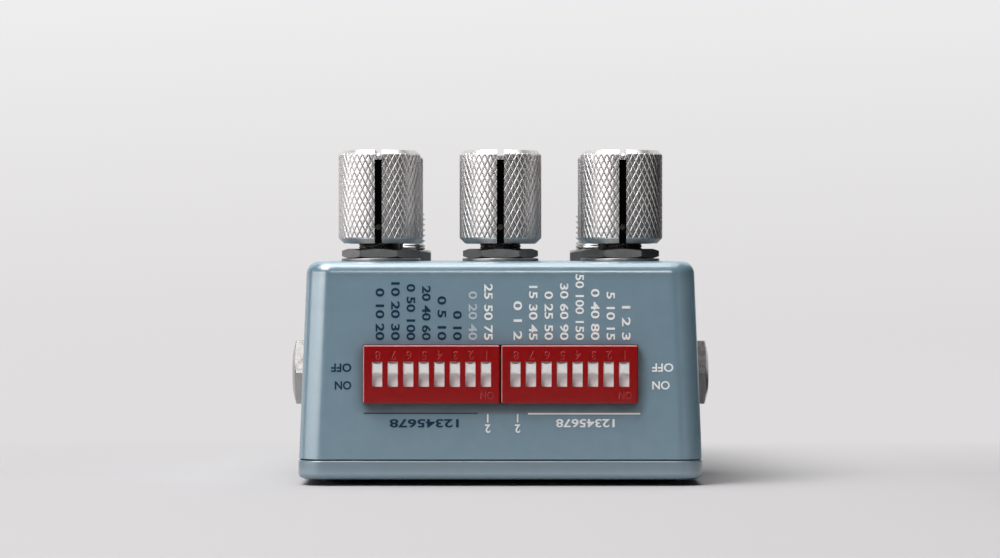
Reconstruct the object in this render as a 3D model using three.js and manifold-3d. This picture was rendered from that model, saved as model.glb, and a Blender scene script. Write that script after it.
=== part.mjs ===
// Guitar effects pedal in a drafted die-cast box, built as it comes apart on a bench.
// Millimetres, +Z up. The switch banks face -Y, the foot switches stand towards +Y,
// and X runs across the pedal, with the input on -X and the output on +X.
import * as THREE from "three";
import { mergeVertices } from "three/addons/utils/BufferGeometryUtils.js";
import Module from "manifold-3d";

const wasm = await Module();
wasm.setup();

// Enclosure: shell, base plate and feet
const boxLength = 121;
const boxWidth = 66.4;
const shellHeight = 32.55;
const wall = 2;
const panelThick = 2.2;
const draft = THREE.MathUtils.degToRad(2.25);
const cornerRadius = 4.2;
const topFillet = 2.05;
const innerFillet = 1.2;
const lidThick = 3.1;
const lidOverhang = 0.1;
const lidFillet = 1;
const lidTopEdge = 0.25;
const lidPocket = 1.1;
const seamGap = 0.1;
const lipHeight = 1.6;
const lipThick = 1.5;
const footHeight = 1.05;
const footRadius = 5;
const footTaper = 0.3;
const footFromSide = 8.7;
const footFromEnd = 15.5;

// Screws of the base plate and their posts
const screwInset = 4.85;
const postRadius = 4.4;
const pilotDepth = 13;
const screwRadius = 1.6;
const screwLength = 11;
const screwHeadRadius = 3.3;
const screwHeadDepth = 1.9;
const screwTip = 0.6;
const crossWidth = 1;
const crossSpan = 3.6;
const crossDepth = 1.1;

// Clearances: a fixed fit, a running fit, a hole round a bushing, the overrun of a cut,
// and the distance within which the points of a surface are one
const fixedGap = 0.15;
const runningGap = 0.25;
const holeGap = 0.25;
const overrun = 1;
const weldGap = 0.0003;

// Switch banks in the rear wall
const bankCount = 2;
const bankPitch = 22.6;
const bankWidth = 22.4;
const bankHeight = 9.5;
const bankDepth = 5.6;
const bankProud = 1.6;
const bankCentreZ = 18.35;
const bankEdge = 0.35;
const sliderCount = 8;
const sliderPitch = 2.54;
const sliderShift = 0.02;
const slotWidth = 1.67;
const slotHeight = 4.1;
const bankSkin = 0.9;
const channelWidth = 2.1;
const channelDepth = 1.15;
const sliderTravel = 2;
const sliderFit = 0.1;
const nubProud = 0.75;
const nubCrown = 0.3;
const scoopDepth = 0.3;

// Rows of controls: knobs from the rear edge, foot switches from the front edge, and the free
// length between them shared out before the toggles, between them and the lamps, and after the lamps
const rearKnobRow = 16;
const frontKnobRow = 41;
const footSwitchFromFront = 29;
const beforeToggleShare = 0.311;
const afterLampShare = 0.211;
const knobFromSide = 12.9;
const footSwitchFromSide = 13;
const lampFromSide = 12.9;
const togglePitch = 16.5;

// Potentiometers and knobs
const potWidth = 9.6;
const potLength = 11.2;
const potCanHeight = 5;
const potWaferHeight = 1.8;
const potLegWidth = 2.2;
const potLegThick = 0.8;
const potBushRadius = 3.45;
const potBushRise = 4.6;
const potBushChamfer = 0.35;
const potWasherRadius = 6.35;
const potWasherThick = 0.5;
const potNutFlats = 10.9;
const potNutHeight = 1.6;
const potNutChamfer = 0.32;
const shaftRadius = 2.8;
const shaftFoot = 1.2;
const knobRadius = 6.85;
const knobHeight = 15.55;
const knobStandoff = 0.9;
const knobTopChamfer = 0.75;
const knobBottomChamfer = 0.9;
const knobPlainBand = 0.35;
const knurlDepth = 0.3;
const knurlColumns = 24;
const knurlRows = 4;
const pointerWidth = 1.2;
const pointerDepth = 1.35;
const grooveDepth = 1;
const pointerBridge = 0.65;
const grubRadius = 0.5;
const grubDepth = 0.6;
const grubRise = 2.7;
const skirtDepth = 2.6;

// Toggle switches
const toggleBodyLength = 12.7;
const toggleBodyWidth = 6.9;
const toggleBodyHeight = 8;
const toggleBushRadius = 3.12;
const toggleBushRise = 3.15;
const toggleBushChamfer = 0.5;
const toggleNutFlats = 8.2;
const toggleNutHeight = 1.85;
const toggleNutChamfer = 0.25;
const toggleThroat = 2.3;
const keyWidth = 1.1;
const keyDepth = 0.45;
const leverPivotDrop = 2.3;
const leverBallRadius = 1.8;
const leverNeckRadius = 1.15;
const leverTipRadius = 1.5;
const leverRise = 10.4;

// Foot switches
const footBodyWidth = 16.5;
const footBodyLength = 17.5;
const footBodyHeight = 13;
const footBodyEdge = 0.8;
const footBushRadius = 6;
const footBushRise = 9.2;
const footBushChamfer = 0.75;
const footNutFlats = 14;
const footNutHeight = 2;
const footNutChamfer = 0.35;
const buttonRadius = 5.5;
const buttonHeight = 4.75;
const buttonEdge = 0.9;
const buttonStandoff = 4.05;
const stemRadius = 3.4;
const stemDepth = 6;
const buttonTravel = 2;
const footLugWidth = 2.6;
const footLugThick = 0.8;
const footLugDrop = 3.6;
const footLugSpread = 4.7;

// Indicator lamps
const lampRadius = 2.5;
const lampRise = 1.9;
const lampFlangeRadius = 2.9;
const lampFlangeHeight = 1;
const lampFlangeDrop = 0.4;
const lampLegWidth = 0.6;
const lampLegSpread = 1.27;

// Jacks and power inlet in the side walls
const jackRow = 36;
const jackBodyLength = 22;
const jackBodyWidth = 15.9;
const jackBodyHeight = 12.4;
const jackBodyEdge = 1;
const jackBushRadius = 4.5;
const jackBoreRadius = 3.25;
const jackBoreEnd = 1.5;
const jackNutFlats = 10.8;
const jackNutThick = 2.75;
const jackNutDome = 0.75;
const jackNutChamfer = 0.3;
const afterJackShare = 0.447;
const inletWidth = 9;
const inletLength = 14.2;
const inletHeight = 11;
const inletAxisDrop = 6.5;
const inletSnoutRadius = 4.2;
const inletBoreRadius = 2.85;
const inletBoreDepth = 9.5;
const inletPinRadius = 1.05;
const inletPinSetback = 1.4;
const inletProud = 0.3;

// Circuit boards
const boardDrop = 9.15;
const boardThick = 1.6;
const boardFromSide = 5.2;
const boardFromRear = 9.6;
const boardToFootSwitch = 2.75;
const boardCorner = 2;
const switchBoardMargin = 1.1;
const switchBoardDrop = 1;
const switchBoardGap = 4.7;
const headerWidth = 28;
const headerHeight = 2.5;
const headerReach = 6.2;

// Facets on round forms
const smallSides = 8;
const roundSides = 12;
const largeSides = 16;
const nutSides = 12;
const nutFaceShare = 0.96;
const cornerSteps = 4;
const filletSteps = 3;
const hollowSteps = 1;

// Levels and places that follow from the sizes above
const lidZ = footHeight;
const shellZ = lidZ + lidThick + seamGap;
const panelZ = shellZ + shellHeight;
const underPanelZ = panelZ - panelThick;
const boardZ = underPanelZ - boardDrop;
const underBoardZ = boardZ - boardThick;
const jackZ = underBoardZ - jackBodyHeight / 2;
const inletZ = underBoardZ - inletAxisDrop;
const screwX = boxWidth / 2 - screwInset;
const screwY = boxLength / 2 - screwInset;
const insetAt = (z) => (z - shellZ) * Math.tan(draft);
const sideAt = (z) => boxWidth / 2 - insetAt(z);
const rearAt = (z) => insetAt(z) - boxLength / 2;
const fromRear = (distance) => distance - boxLength / 2;
const footSwitchRow = boxLength - footSwitchFromFront;
const footSwitchStart = footSwitchRow - footBodyLength / 2;
const washerEnd = frontKnobRow + potWasherRadius;
const toggleReach = toggleNutFlats / 2 / Math.cos(Math.PI / 6);
const freeOnPanel = footSwitchStart - washerEnd - 2 * toggleReach - 2 * lampFlangeRadius;
const toggleRow = washerEnd + beforeToggleShare * freeOnPanel + toggleReach;
const lampRow = footSwitchStart - afterLampShare * freeOnPanel - lampFlangeRadius;
const jackEnd = jackRow + jackBodyWidth / 2;
const freeAtSide = footSwitchStart - jackEnd - inletWidth;
const inletRow = jackEnd + afterJackShare * freeAtSide + inletWidth / 2;
const knobColumn = boxWidth / 2 - knobFromSide;
const footSwitchColumn = boxWidth / 2 - footSwitchFromSide;
const lampColumn = boxWidth / 2 - lampFromSide;
const bankFaceY = rearAt(bankCentreZ) - bankProud;
const bankBackY = bankFaceY + bankDepth;
const banksWidth = bankPitch * (bankCount - 1) + bankWidth;
const bankCentreX = (bank) => (bank - (bankCount - 1) / 2) * bankPitch;
const columns = ["left", "middle", "right"];
const sides = ["left", "right"];

// A closed three.js geometry as a solid that can be joined and cut.
function solid(geometry) {
  geometry.deleteAttribute("normal");
  geometry.deleteAttribute("uv");
  const merged = mergeVertices(geometry, weldGap);
  const triVerts = new Uint32Array(merged.index.array);
  const vertProperties = merged.attributes.position.array;
  return new wasm.Manifold(new wasm.Mesh({ numProp: 3, vertProperties, triVerts }));
}

// The solid's faces as a flat-shaded three.js geometry.
function geometryOf(body) {
  const { vertProperties, triVerts } = body.getMesh();
  const geometry = new THREE.BufferGeometry();
  geometry.setAttribute("position", new THREE.BufferAttribute(vertProperties, 3));
  geometry.setIndex(new THREE.BufferAttribute(triVerts, 1));
  const flat = geometry.toNonIndexed();
  flat.computeVertexNormals();
  return flat;
}

function piece(name, body, material) {
  const mesh = new THREE.Mesh(geometryOf(body), material);
  mesh.name = name;
  return mesh;
}

const joined = (bodies) => bodies.reduce((all, next) => all.add(next));
const cutBy = (body, tools) => tools.reduce((left, tool) => left.subtract(tool), body);

// A box between two corners.
function block(x0, x1, y0, y1, z0, z1) {
  const box = new THREE.BoxGeometry(x1 - x0, y1 - y0, z1 - z0);
  box.translate((x0 + x1) / 2, (y0 + y1) / 2, (z0 + z1) / 2);
  return solid(box);
}

// A box that is centred on the Z axis, from z0 to z1.
const post = (width, length, z0, z1) => block(-width / 2, width / 2, -length / 2, length / 2, z0, z1);

// A profile of [radius, height] pairs, from the axis at the bottom to the axis at the top, turned round Z.
function turned(profile, around) {
  const points = profile.map(([radius, z]) => new THREE.Vector2(radius, z));
  const lathe = new THREE.LatheGeometry(points, around);
  lathe.rotateX(Math.PI / 2);
  return solid(lathe);
}

const rod = (radius, z0, z1, around) => turned([[0, z0], [radius, z0], [radius, z1], [0, z1]], around);

// A rounded rectangle as a counterclockwise ring of points at one height.
function roundedRing({ z, x, y, radius }) {
  const ring = [];
  for (let quarter = 0; quarter < 4; quarter++) {
    for (let step = 0; step <= cornerSteps; step++) {
      const angle = ((quarter + step / cornerSteps) * Math.PI) / 2;
      const signX = quarter === 0 || quarter === 3 ? 1 : -1;
      const signY = quarter < 2 ? 1 : -1;
      const centre = [signX * (x - radius), signY * (y - radius)];
      ring.push([centre[0] + radius * Math.cos(angle), centre[1] + radius * Math.sin(angle), z]);
    }
  }
  return ring;
}

// A closed skin over rings of equal point counts, from the lowest to the highest.
function lofted(rings, turnDiagonal = () => false) {
  const count = rings[0].length;
  const index = [];
  for (let k = 0; k + 1 < rings.length; k++) {
    for (let i = 0; i < count; i++) {
      const next = (i + 1) % count;
      const [a, b] = [k * count + i, k * count + next];
      const [c, d] = [b + count, a + count];
      if (turnDiagonal(i, k)) index.push(a, b, d, b, c, d);
      else index.push(a, b, c, a, c, d);
    }
  }
  const top = (rings.length - 1) * count;
  for (let i = 1; i + 1 < count; i++) {
    index.push(0, i + 1, i);
    index.push(top, top + i, top + i + 1);
  }
  const geometry = new THREE.BufferGeometry();
  geometry.setAttribute("position", new THREE.Float32BufferAttribute(rings.flat(2), 3));
  geometry.setIndex(index);
  return solid(geometry);
}

const loftedBox = (levels) => lofted(levels.map(roundedRing));

// A hexagon bar with its corners turned down at both faces, and a flat towards -Y.
function hexagon(flats, height, lowChamfer, highChamfer) {
  const corner = flats / 2 / Math.cos(Math.PI / 6);
  const bar = new THREE.CylinderGeometry(corner, corner, height, 6);
  bar.rotateX(Math.PI / 2);
  bar.rotateZ(Math.PI / 6);
  bar.translate(0, 0, height / 2);
  const face = (flats / 2) * nutFaceShare;
  const wide = 2 * corner - face;
  const turnedDown = [[0, 0], [lowChamfer ? face : wide, 0], [wide, 2 * lowChamfer]];
  const upper = [[wide, height - 2 * highChamfer], [highChamfer ? face : wide, height], [0, height]];
  const low = lowChamfer ? turnedDown : turnedDown.slice(0, 2);
  const high = highChamfer ? upper : upper.slice(1);
  const cone = turned([...low, ...high], nutSides).rotate([0, 0, 180 / nutSides]);
  return solid(bar).intersect(cone);
}

// Enclosure

// The outside of the shell: drafted walls and a rounded top edge.
function shellOutside() {
  const shoulderZ = panelZ - topFillet;
  const levels = [{ z: shellZ, x: boxWidth / 2, y: boxLength / 2, radius: cornerRadius }];
  for (let step = 0; step <= filletSteps; step++) {
    const angle = ((step / filletSteps) * Math.PI) / 2;
    const inset = insetAt(shoulderZ) + topFillet * (1 - Math.cos(angle));
    const z = shoulderZ + topFillet * Math.sin(angle);
    const radius = cornerRadius - topFillet * (1 - Math.cos(angle));
    levels.push({ z, x: boxWidth / 2 - inset, y: boxLength / 2 - inset, radius });
  }
  return loftedBox(levels);
}

// The hollow of the shell, open at the bottom, with a rounded edge under the panel.
// Grown by part of the wall it bounds the screw posts, which end inside the walls and the panel.
function shellHollow(grow) {
  const level = (z, extra) => ({
    z,
    x: sideAt(z) - wall - extra + grow,
    y: -rearAt(z) - wall - extra + grow,
    radius: cornerRadius - wall - extra + grow,
  });
  const shoulderZ = underPanelZ - innerFillet + grow;
  const levels = [level(shellZ - overrun, 0)];
  for (let step = 0; step <= hollowSteps; step++) {
    const angle = ((step / hollowSteps) * Math.PI) / 2;
    levels.push(level(shoulderZ + innerFillet * Math.sin(angle), innerFillet * (1 - Math.cos(angle))));
  }
  return loftedBox(levels);
}

const atScrews = (body) =>
  [-1, 1].flatMap((x) => [-1, 1].map((y) => body.translate([x * screwX, y * screwY, 0])));

const knobPlaces = [rearKnobRow, frontKnobRow].flatMap((row) =>
  [-1, 0, 1].map((column) => [column * knobColumn, fromRear(row), 0]),
);
const togglePlaces = [-1, 0, 1].map((column) => [column * togglePitch, fromRear(toggleRow), 0]);
const lampPlaces = [-1, 1].map((column) => [column * lampColumn, fromRear(lampRow), 0]);
const footSwitchPlaces = [-1, 1].map((column) => [column * footSwitchColumn, fromRear(footSwitchRow), 0]);

// Round holes through the panel at the given places.
function panelHoles(radius, places, around) {
  const hole = rod(radius + holeGap, underPanelZ - overrun, panelZ + overrun, around);
  return places.map((place) => hole.translate(place));
}

// A round hole through one side wall, -1 on the left and 1 on the right.
function sideHole(radius, side, row, z, around) {
  const hole = rod(radius + holeGap, boxWidth / 4, boxWidth / 2 + overrun, around);
  return hole.rotate([0, side * 90, 0]).translate([0, fromRear(row), z]);
}

function bankWindow() {
  const halfWidth = banksWidth / 2 + holeGap;
  const halfHeight = bankHeight / 2 + holeGap;
  const [low, high] = [bankCentreZ - halfHeight, bankCentreZ + halfHeight];
  return block(-halfWidth, halfWidth, bankFaceY - overrun, bankBackY, low, high);
}

// The upright board behind the banks, grown by a gap where it makes its own room.
function uprightBoard(gap) {
  const halfX = banksWidth / 2 + switchBoardMargin + gap;
  const low = bankCentreZ - bankHeight / 2 - switchBoardDrop - gap;
  const high = underPanelZ - switchBoardGap + gap;
  return block(-halfX, halfX, bankBackY, bankBackY + boardThick + gap, low, high);
}

function enclosureShell() {
  const outside = shellOutside();
  const fullPosts = joined(atScrews(rod(postRadius, shellZ, panelZ, roundSides)));
  const posts = fullPosts.intersect(shellHollow(wall / 2));
  const pilots = atScrews(rod(screwRadius + fixedGap, shellZ - overrun, shellZ + pilotDepth, smallSides));
  const cuts = [
    ...pilots,
    ...panelHoles(potBushRadius, knobPlaces, roundSides),
    ...panelHoles(toggleBushRadius, togglePlaces, roundSides),
    ...panelHoles(lampRadius, lampPlaces, roundSides),
    ...panelHoles(footBushRadius, footSwitchPlaces, largeSides),
    sideHole(jackBushRadius, -1, jackRow, jackZ, roundSides),
    sideHole(jackBushRadius, 1, jackRow, jackZ, roundSides),
    sideHole(inletSnoutRadius, 1, inletRow, inletZ, roundSides),
    bankWindow(),
    uprightBoard(holeGap),
  ];
  return cutBy(outside.subtract(shellHollow(0)).add(posts), cuts);
}

// The countersunk screw as a profile, grown by a gap to cut its own seat.
function screwProfile(gap, shankEnd) {
  const throat = lidZ + screwHeadDepth;
  return [
    [0, lidZ - gap],
    [screwHeadRadius + gap, lidZ - gap],
    [screwRadius + gap, throat],
    [screwRadius + gap, shankEnd - screwTip],
    [screwRadius + gap - screwTip, shankEnd],
    [0, shankEnd],
  ];
}

// The base plate: rounded below, pocketed above, with a lip that nests in the shell.
function basePlate() {
  const x = boxWidth / 2 + lidOverhang;
  const y = boxLength / 2 + lidOverhang;
  const corner = cornerRadius + lidOverhang;
  const level = (z, inset) => ({ z, x: x - inset, y: y - inset, radius: corner - inset });
  const levels = [];
  for (let step = 0; step <= filletSteps; step++) {
    const angle = ((step / filletSteps) * Math.PI) / 2;
    levels.push(level(lidZ + lidFillet * (1 - Math.cos(angle)), lidFillet * (1 - Math.sin(angle))));
  }
  const topZ = lidZ + lidThick;
  levels.push(level(topZ - lidTopEdge, 0), level(topZ, lidTopEdge));
  const lipInset = lidOverhang + wall + holeGap;
  const [pocketZ, lipZ] = [topZ - lidPocket, topZ + lipHeight];
  const lip = loftedBox([level(pocketZ, lipInset), level(lipZ, lipInset + insetAt(lipZ))]);
  const pocketInset = lipInset + lipThick;
  const pocket = loftedBox([level(pocketZ, pocketInset), level(lipZ + overrun, pocketInset)]);
  const room = atScrews(rod(postRadius + holeGap, topZ, lipZ + overrun, roundSides));
  const bosses = atScrews(rod(postRadius, lidZ + lidFillet, topZ, roundSides));
  const plate = loftedBox(levels).add(cutBy(lip, room)).subtract(pocket);
  const seats = atScrews(turned(screwProfile(fixedGap, topZ + overrun), smallSides));
  return cutBy(plate.add(joined(bosses)), seats);
}

function lidScrew() {
  const screw = turned(screwProfile(0, lidZ + screwLength), smallSides);
  const [low, high] = [lidZ - overrun, lidZ + crossDepth];
  const cross = [post(crossSpan, crossWidth, low, high), post(crossWidth, crossSpan, low, high)];
  return cutBy(screw, cross);
}

function rubberFoot() {
  const side = [[footRadius - footTaper, 0], [footRadius, footTaper], [footRadius, lidZ]];
  return turned([[0, 0], ...side, [0, lidZ]], roundSides);
}

// Switch banks

const slotX = (slot) => (slot - (sliderCount - 1) / 2) * sliderPitch + sliderShift;
const skinY = bankFaceY + bankSkin;
const channelReach = slotHeight / 2 + sliderTravel + sliderFit;

// A red housing: bevelled front edges, eight slots, and a channel behind each for its slider.
function switchBank(bank) {
  const edge = bankEdge;
  const outline = new THREE.Shape();
  const [halfX, halfZ] = [bankWidth / 2 - edge, bankHeight / 2 - edge];
  outline.moveTo(-halfX, -halfZ).lineTo(halfX, -halfZ).lineTo(halfX, halfZ).lineTo(-halfX, halfZ);
  outline.closePath();
  const settings = { depth: bankDepth - edge, bevelThickness: edge, bevelSize: edge, bevelSegments: 1 };
  const extrusion = new THREE.ExtrudeGeometry(outline, settings);
  extrusion.rotateX(Math.PI / 2);
  extrusion.translate(0, bankBackY, bankCentreZ);
  const behind = block(-bankWidth, bankWidth, bankBackY, bankBackY + bankDepth, 0, panelZ);
  const cuts = [behind];
  const opening = (x, width, y0, y1, reach) =>
    block(x - width / 2, x + width / 2, y0, y1, bankCentreZ - reach, bankCentreZ + reach);
  for (let slot = 0; slot < sliderCount; slot++) {
    const x = slotX(slot);
    cuts.push(opening(x, slotWidth, bankFaceY - overrun, skinY + channelDepth / 2, slotHeight / 2));
    cuts.push(opening(x, channelWidth, skinY, skinY + channelDepth, channelReach));
  }
  return cutBy(solid(extrusion), cuts).translate([bankCentreX(bank), 0, 0]);
}

// A white slider: a flat runner in the channel, and a nub with a hollowed crown in the slot.
function slider() {
  const runnerHalf = channelWidth / 2 - sliderFit;
  const top = bankCentreZ + channelReach - sliderFit;
  const bottom = bankCentreZ - slotHeight / 2;
  const [front, back] = [skinY + sliderFit, skinY + channelDepth - sliderFit];
  const runner = block(-runnerHalf, runnerHalf, front, back, bottom, top);
  const nubHalf = slotWidth / 2 - sliderFit;
  const nubTop = bankCentreZ + slotHeight / 2 - sliderFit;
  const nubBottom = nubTop - (slotHeight - sliderTravel - 2 * sliderFit);
  const nubFace = skinY - nubProud;
  const nub = block(-nubHalf, nubHalf, nubFace, front + sliderFit, nubBottom, nubTop);
  const crown = rod(nubHalf, -bankDepth, bankDepth, smallSides).rotate([90, 0, 0]);
  const hollow = crown.translate([0, skinY - sliderFit - bankDepth, nubTop + nubHalf - nubCrown]);
  const scoop = block(-nubHalf, nubHalf, skinY, skinY + scoopDepth, bottom + bankSkin, nubBottom);
  return runner.add(nub.subtract(hollow)).subtract(scoop);
}

// Potentiometers and knobs

function potentiometer() {
  const washerZ = panelZ + potWasherThick;
  const bushTop = panelZ + potBushRise;
  const canZ = underPanelZ - potCanHeight;
  const waferZ = canZ - potWaferHeight;
  const bush = turned(
    [
      [0, canZ],
      [potBushRadius, canZ],
      [potBushRadius, bushTop - potBushChamfer],
      [potBushRadius - potBushChamfer, bushTop],
      [0, bushTop],
    ],
    roundSides,
  );
  const can = post(potWidth, potLength, canZ, underPanelZ);
  const wafer = post(potWidth + potLegThick, potLength - potLegWidth, waferZ, canZ);
  const leg = block(0, potLegThick, -potLegWidth / 2, potLegWidth / 2, boardZ, canZ + potLegThick);
  const legs = [leg.translate([potWidth / 2, 0, 0]), leg.translate([-potWidth / 2 - potLegThick, 0, 0])];
  const washer = rod(potWasherRadius, panelZ, washerZ, roundSides);
  const nut = hexagon(potNutFlats, potNutHeight, potNutChamfer, potNutChamfer).translate([0, 0, washerZ]);
  const well = rod(shaftRadius + runningGap, canZ + shaftFoot, bushTop + overrun, roundSides);
  return joined([bush, can, wafer, ...legs, washer, nut]).subtract(well);
}

// The knurled skin: raised points and hollows in turn, with the creases along the hollows.
function knurledCap(z0, z1) {
  const ring = (z, radiusOf) => {
    const points = [];
    for (let i = 0; i < knurlColumns; i++) {
      const angle = (i / knurlColumns) * 2 * Math.PI;
      points.push([radiusOf(i) * Math.cos(angle), radiusOf(i) * Math.sin(angle), z]);
    }
    return points;
  };
  const plain = (z, radius) => ring(z, () => radius);
  const root = knobRadius - knurlDepth;
  const low = z0 + knobBottomChamfer + knobPlainBand;
  const high = z1 - knobTopChamfer;
  const rings = [plain(z0, knobRadius - knobBottomChamfer), plain(z0 + knobBottomChamfer, knobRadius)];
  const firstRow = rings.length;
  for (let row = 0; row <= knurlRows; row++) {
    const z = low + ((row + 1) / (knurlRows + 2)) * (high - low);
    rings.push(ring(z, (i) => ((i + row) % 2 ? root : knobRadius)));
  }
  rings.push(plain(high, knobRadius), plain(z1, knobRadius - knobTopChamfer));
  const acrossHollows = (i, k) => k >= firstRow && (i + k - firstRow) % 2 === 0;
  return lofted(rings, acrossHollows);
}

// A knob with its pointer slot towards -Y, a groove across the top, a grub screw and its shaft.
function knob() {
  const z0 = panelZ + potWasherThick + potNutHeight + knobStandoff;
  const z1 = z0 + knobHeight;
  const round = rod(potBushRadius + runningGap, z0 - overrun, z0 + skirtDepth, roundSides);
  const skirt = round.rotate([0, 0, 180 / roundSides]);
  const half = pointerWidth / 2;
  const slotFloor = knobRadius - pointerDepth;
  const slotTop = z1 - grooveDepth - pointerBridge;
  const pointer = block(-half, half, -knobRadius - overrun, -slotFloor, z0 - overrun, slotTop);
  const groove = post(pointerWidth, 2 * knobRadius + overrun, z1 - grooveDepth, z1 + overrun);
  const grub = rod(grubRadius, -overrun, grubDepth, smallSides).rotate([-90, 0, 0]);
  const grubSeat = grub.translate([0, -slotFloor, z0 + grubRise]);
  const cap = cutBy(knurledCap(z0, z1), [skirt, pointer, groove, grubSeat]);
  const shaftEnd = underPanelZ - potCanHeight + shaftFoot + runningGap;
  return cap.add(rod(shaftRadius, shaftEnd, z0 + skirtDepth + shaftFoot, roundSides));
}

// Toggle switches

const pivotZ = panelZ + toggleBushRise - leverPivotDrop;

function toggleSwitch() {
  const bushTop = panelZ + toggleBushRise;
  const bodyZ = underPanelZ - toggleBodyHeight;
  const bush = turned(
    [
      [0, bodyZ],
      [toggleBushRadius, bodyZ],
      [toggleBushRadius, bushTop - toggleBushChamfer],
      [toggleBushRadius - toggleBushChamfer, bushTop],
      [0, bushTop],
    ],
    roundSides,
  );
  const body = post(toggleBodyLength, toggleBodyWidth, bodyZ, underPanelZ);
  const base = post(toggleBodyLength / 2, toggleBodyWidth / 2, boardZ, bodyZ);
  const nut = hexagon(toggleNutFlats, toggleNutHeight, 0, toggleNutChamfer).rotate([0, 0, 90]);
  const throatFloor = pivotZ - leverBallRadius - runningGap;
  const throat = rod(toggleThroat, throatFloor, bushTop + overrun, roundSides);
  const [keyIn, keyOut] = [toggleBushRadius - keyDepth, toggleBushRadius + overrun];
  const nutTop = panelZ + toggleNutHeight;
  const key = block(keyIn, keyOut, -keyWidth / 2, keyWidth / 2, nutTop, bushTop + overrun);
  return cutBy(joined([bush, body, base, nut.translate([0, 0, panelZ])]), [throat, key]);
}

// A bat lever on its ball, upright in the middle position.
function toggleLever() {
  const profile = [];
  for (let step = 0; step <= filletSteps; step++) {
    const angle = ((step / filletSteps) * 2 * Math.PI) / 3 - Math.PI / 2;
    profile.push([leverBallRadius * Math.cos(angle), pivotZ + leverBallRadius * Math.sin(angle)]);
  }
  profile[0][0] = 0;
  const neckZ = pivotZ + leverBallRadius;
  const tipZ = panelZ + toggleBushRise + leverRise;
  profile.push([leverNeckRadius, neckZ]);
  for (let step = 0; step <= filletSteps; step++) {
    const angle = ((step / filletSteps) * Math.PI) / 2;
    profile.push([leverTipRadius * Math.cos(angle), tipZ - leverTipRadius * (1 - Math.sin(angle))]);
  }
  profile[profile.length - 1][0] = 0;
  return turned(profile, smallSides);
}

// Foot switches

function footSwitch() {
  const bushTop = panelZ + footBushRise;
  const bodyZ = underPanelZ - footBodyHeight;
  const [x, y] = [footBodyWidth / 2, footBodyLength / 2];
  const level = (z, inset) => ({ z, x: x - inset, y: y - inset, radius: footBodyEdge });
  const levels = [level(bodyZ, footBodyEdge / 2), level(bodyZ + footBodyEdge, 0), level(underPanelZ, 0)];
  const bush = turned(
    [
      [0, underPanelZ - footBodyEdge],
      [footBushRadius, underPanelZ - footBodyEdge],
      [footBushRadius, bushTop - footBushChamfer],
      [footBushRadius - footBushChamfer, bushTop],
      [0, bushTop],
    ],
    largeSides,
  );
  const nut = hexagon(footNutFlats, footNutHeight, 0, footNutChamfer).rotate([0, 0, 90]);
  const lug = post(footLugWidth, footLugThick, bodyZ - footLugDrop, bodyZ + footBodyEdge);
  const lugs = [-1, 1].map((side) => lug.translate([0, side * footLugSpread, 0]));
  const wellFloor = bushTop - stemDepth - buttonTravel - runningGap;
  const well = rod(stemRadius + runningGap, wellFloor, bushTop + overrun, roundSides);
  return joined([loftedBox(levels), bush, nut.translate([0, 0, panelZ]), ...lugs]).subtract(well);
}

// A domed chrome button on its stem, up at rest.
function footButton() {
  const bushTop = panelZ + footBushRise;
  const capZ = bushTop + buttonStandoff;
  const topZ = capZ + buttonHeight;
  const profile = [
    [0, bushTop - stemDepth],
    [stemRadius, bushTop - stemDepth],
    [stemRadius, capZ],
    [buttonRadius - buttonEdge / 2, capZ],
    [buttonRadius, capZ + buttonEdge / 2],
  ];
  for (let step = 0; step <= filletSteps; step++) {
    const angle = ((step / filletSteps) * Math.PI) / 2;
    const radius = buttonRadius - buttonEdge * (1 - Math.cos(angle));
    profile.push([radius, topZ - buttonEdge * (1 - Math.sin(angle))]);
  }
  profile.push([0, topZ]);
  return turned(profile, largeSides);
}

// Indicator lamps

function lamp() {
  const flangeZ = underPanelZ - lampFlangeDrop - lampFlangeHeight;
  const domeZ = panelZ + lampRise - lampRadius;
  const profile = [
    [0, flangeZ],
    [lampFlangeRadius, flangeZ],
    [lampFlangeRadius, flangeZ + lampFlangeHeight],
    [lampRadius, flangeZ + lampFlangeHeight],
  ];
  for (let step = 0; step <= filletSteps; step++) {
    const angle = ((step / filletSteps) * Math.PI) / 2;
    profile.push([lampRadius * Math.cos(angle), domeZ + lampRadius * Math.sin(angle)]);
  }
  profile[profile.length - 1][0] = 0;
  const leg = post(lampLegWidth, lampLegWidth, boardZ, flangeZ + lampFlangeHeight / 2);
  const legs = [-1, 1].map((side) => leg.translate([side * lampLegSpread, 0, 0]));
  return joined([turned(profile, roundSides), ...legs]);
}

// Jacks and power inlet, built upright with the mouth at +Z, then laid towards the side wall

const jackWallX = sideAt(jackZ - jackNutFlats / 2);
const jackFaceX = jackWallX + fixedGap + jackNutThick;
const layOut = (body, side, row, z) => body.rotate([0, side * 90, 0]).translate([0, fromRear(row), z]);

function jack(side) {
  const front = sideAt(jackZ + jackBodyHeight / 2) - wall - runningGap;
  const back = front - jackBodyLength;
  const [x, y] = [jackBodyHeight / 2, jackBodyWidth / 2];
  const level = (z, inset) => ({ z, x: x - inset, y: y - inset, radius: jackBodyEdge });
  const body = loftedBox([level(back, jackBodyEdge), level(back + jackBodyEdge, 0), level(front, 0)]);
  const mouth = jackFaceX - jackNutDome;
  const bush = rod(jackBushRadius, front - jackBodyEdge, mouth, roundSides);
  const bore = rod(jackBoreRadius, back + jackBoreEnd, mouth + overrun, roundSides);
  return layOut(body.add(bush).subtract(bore), side, jackRow, jackZ);
}

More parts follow.
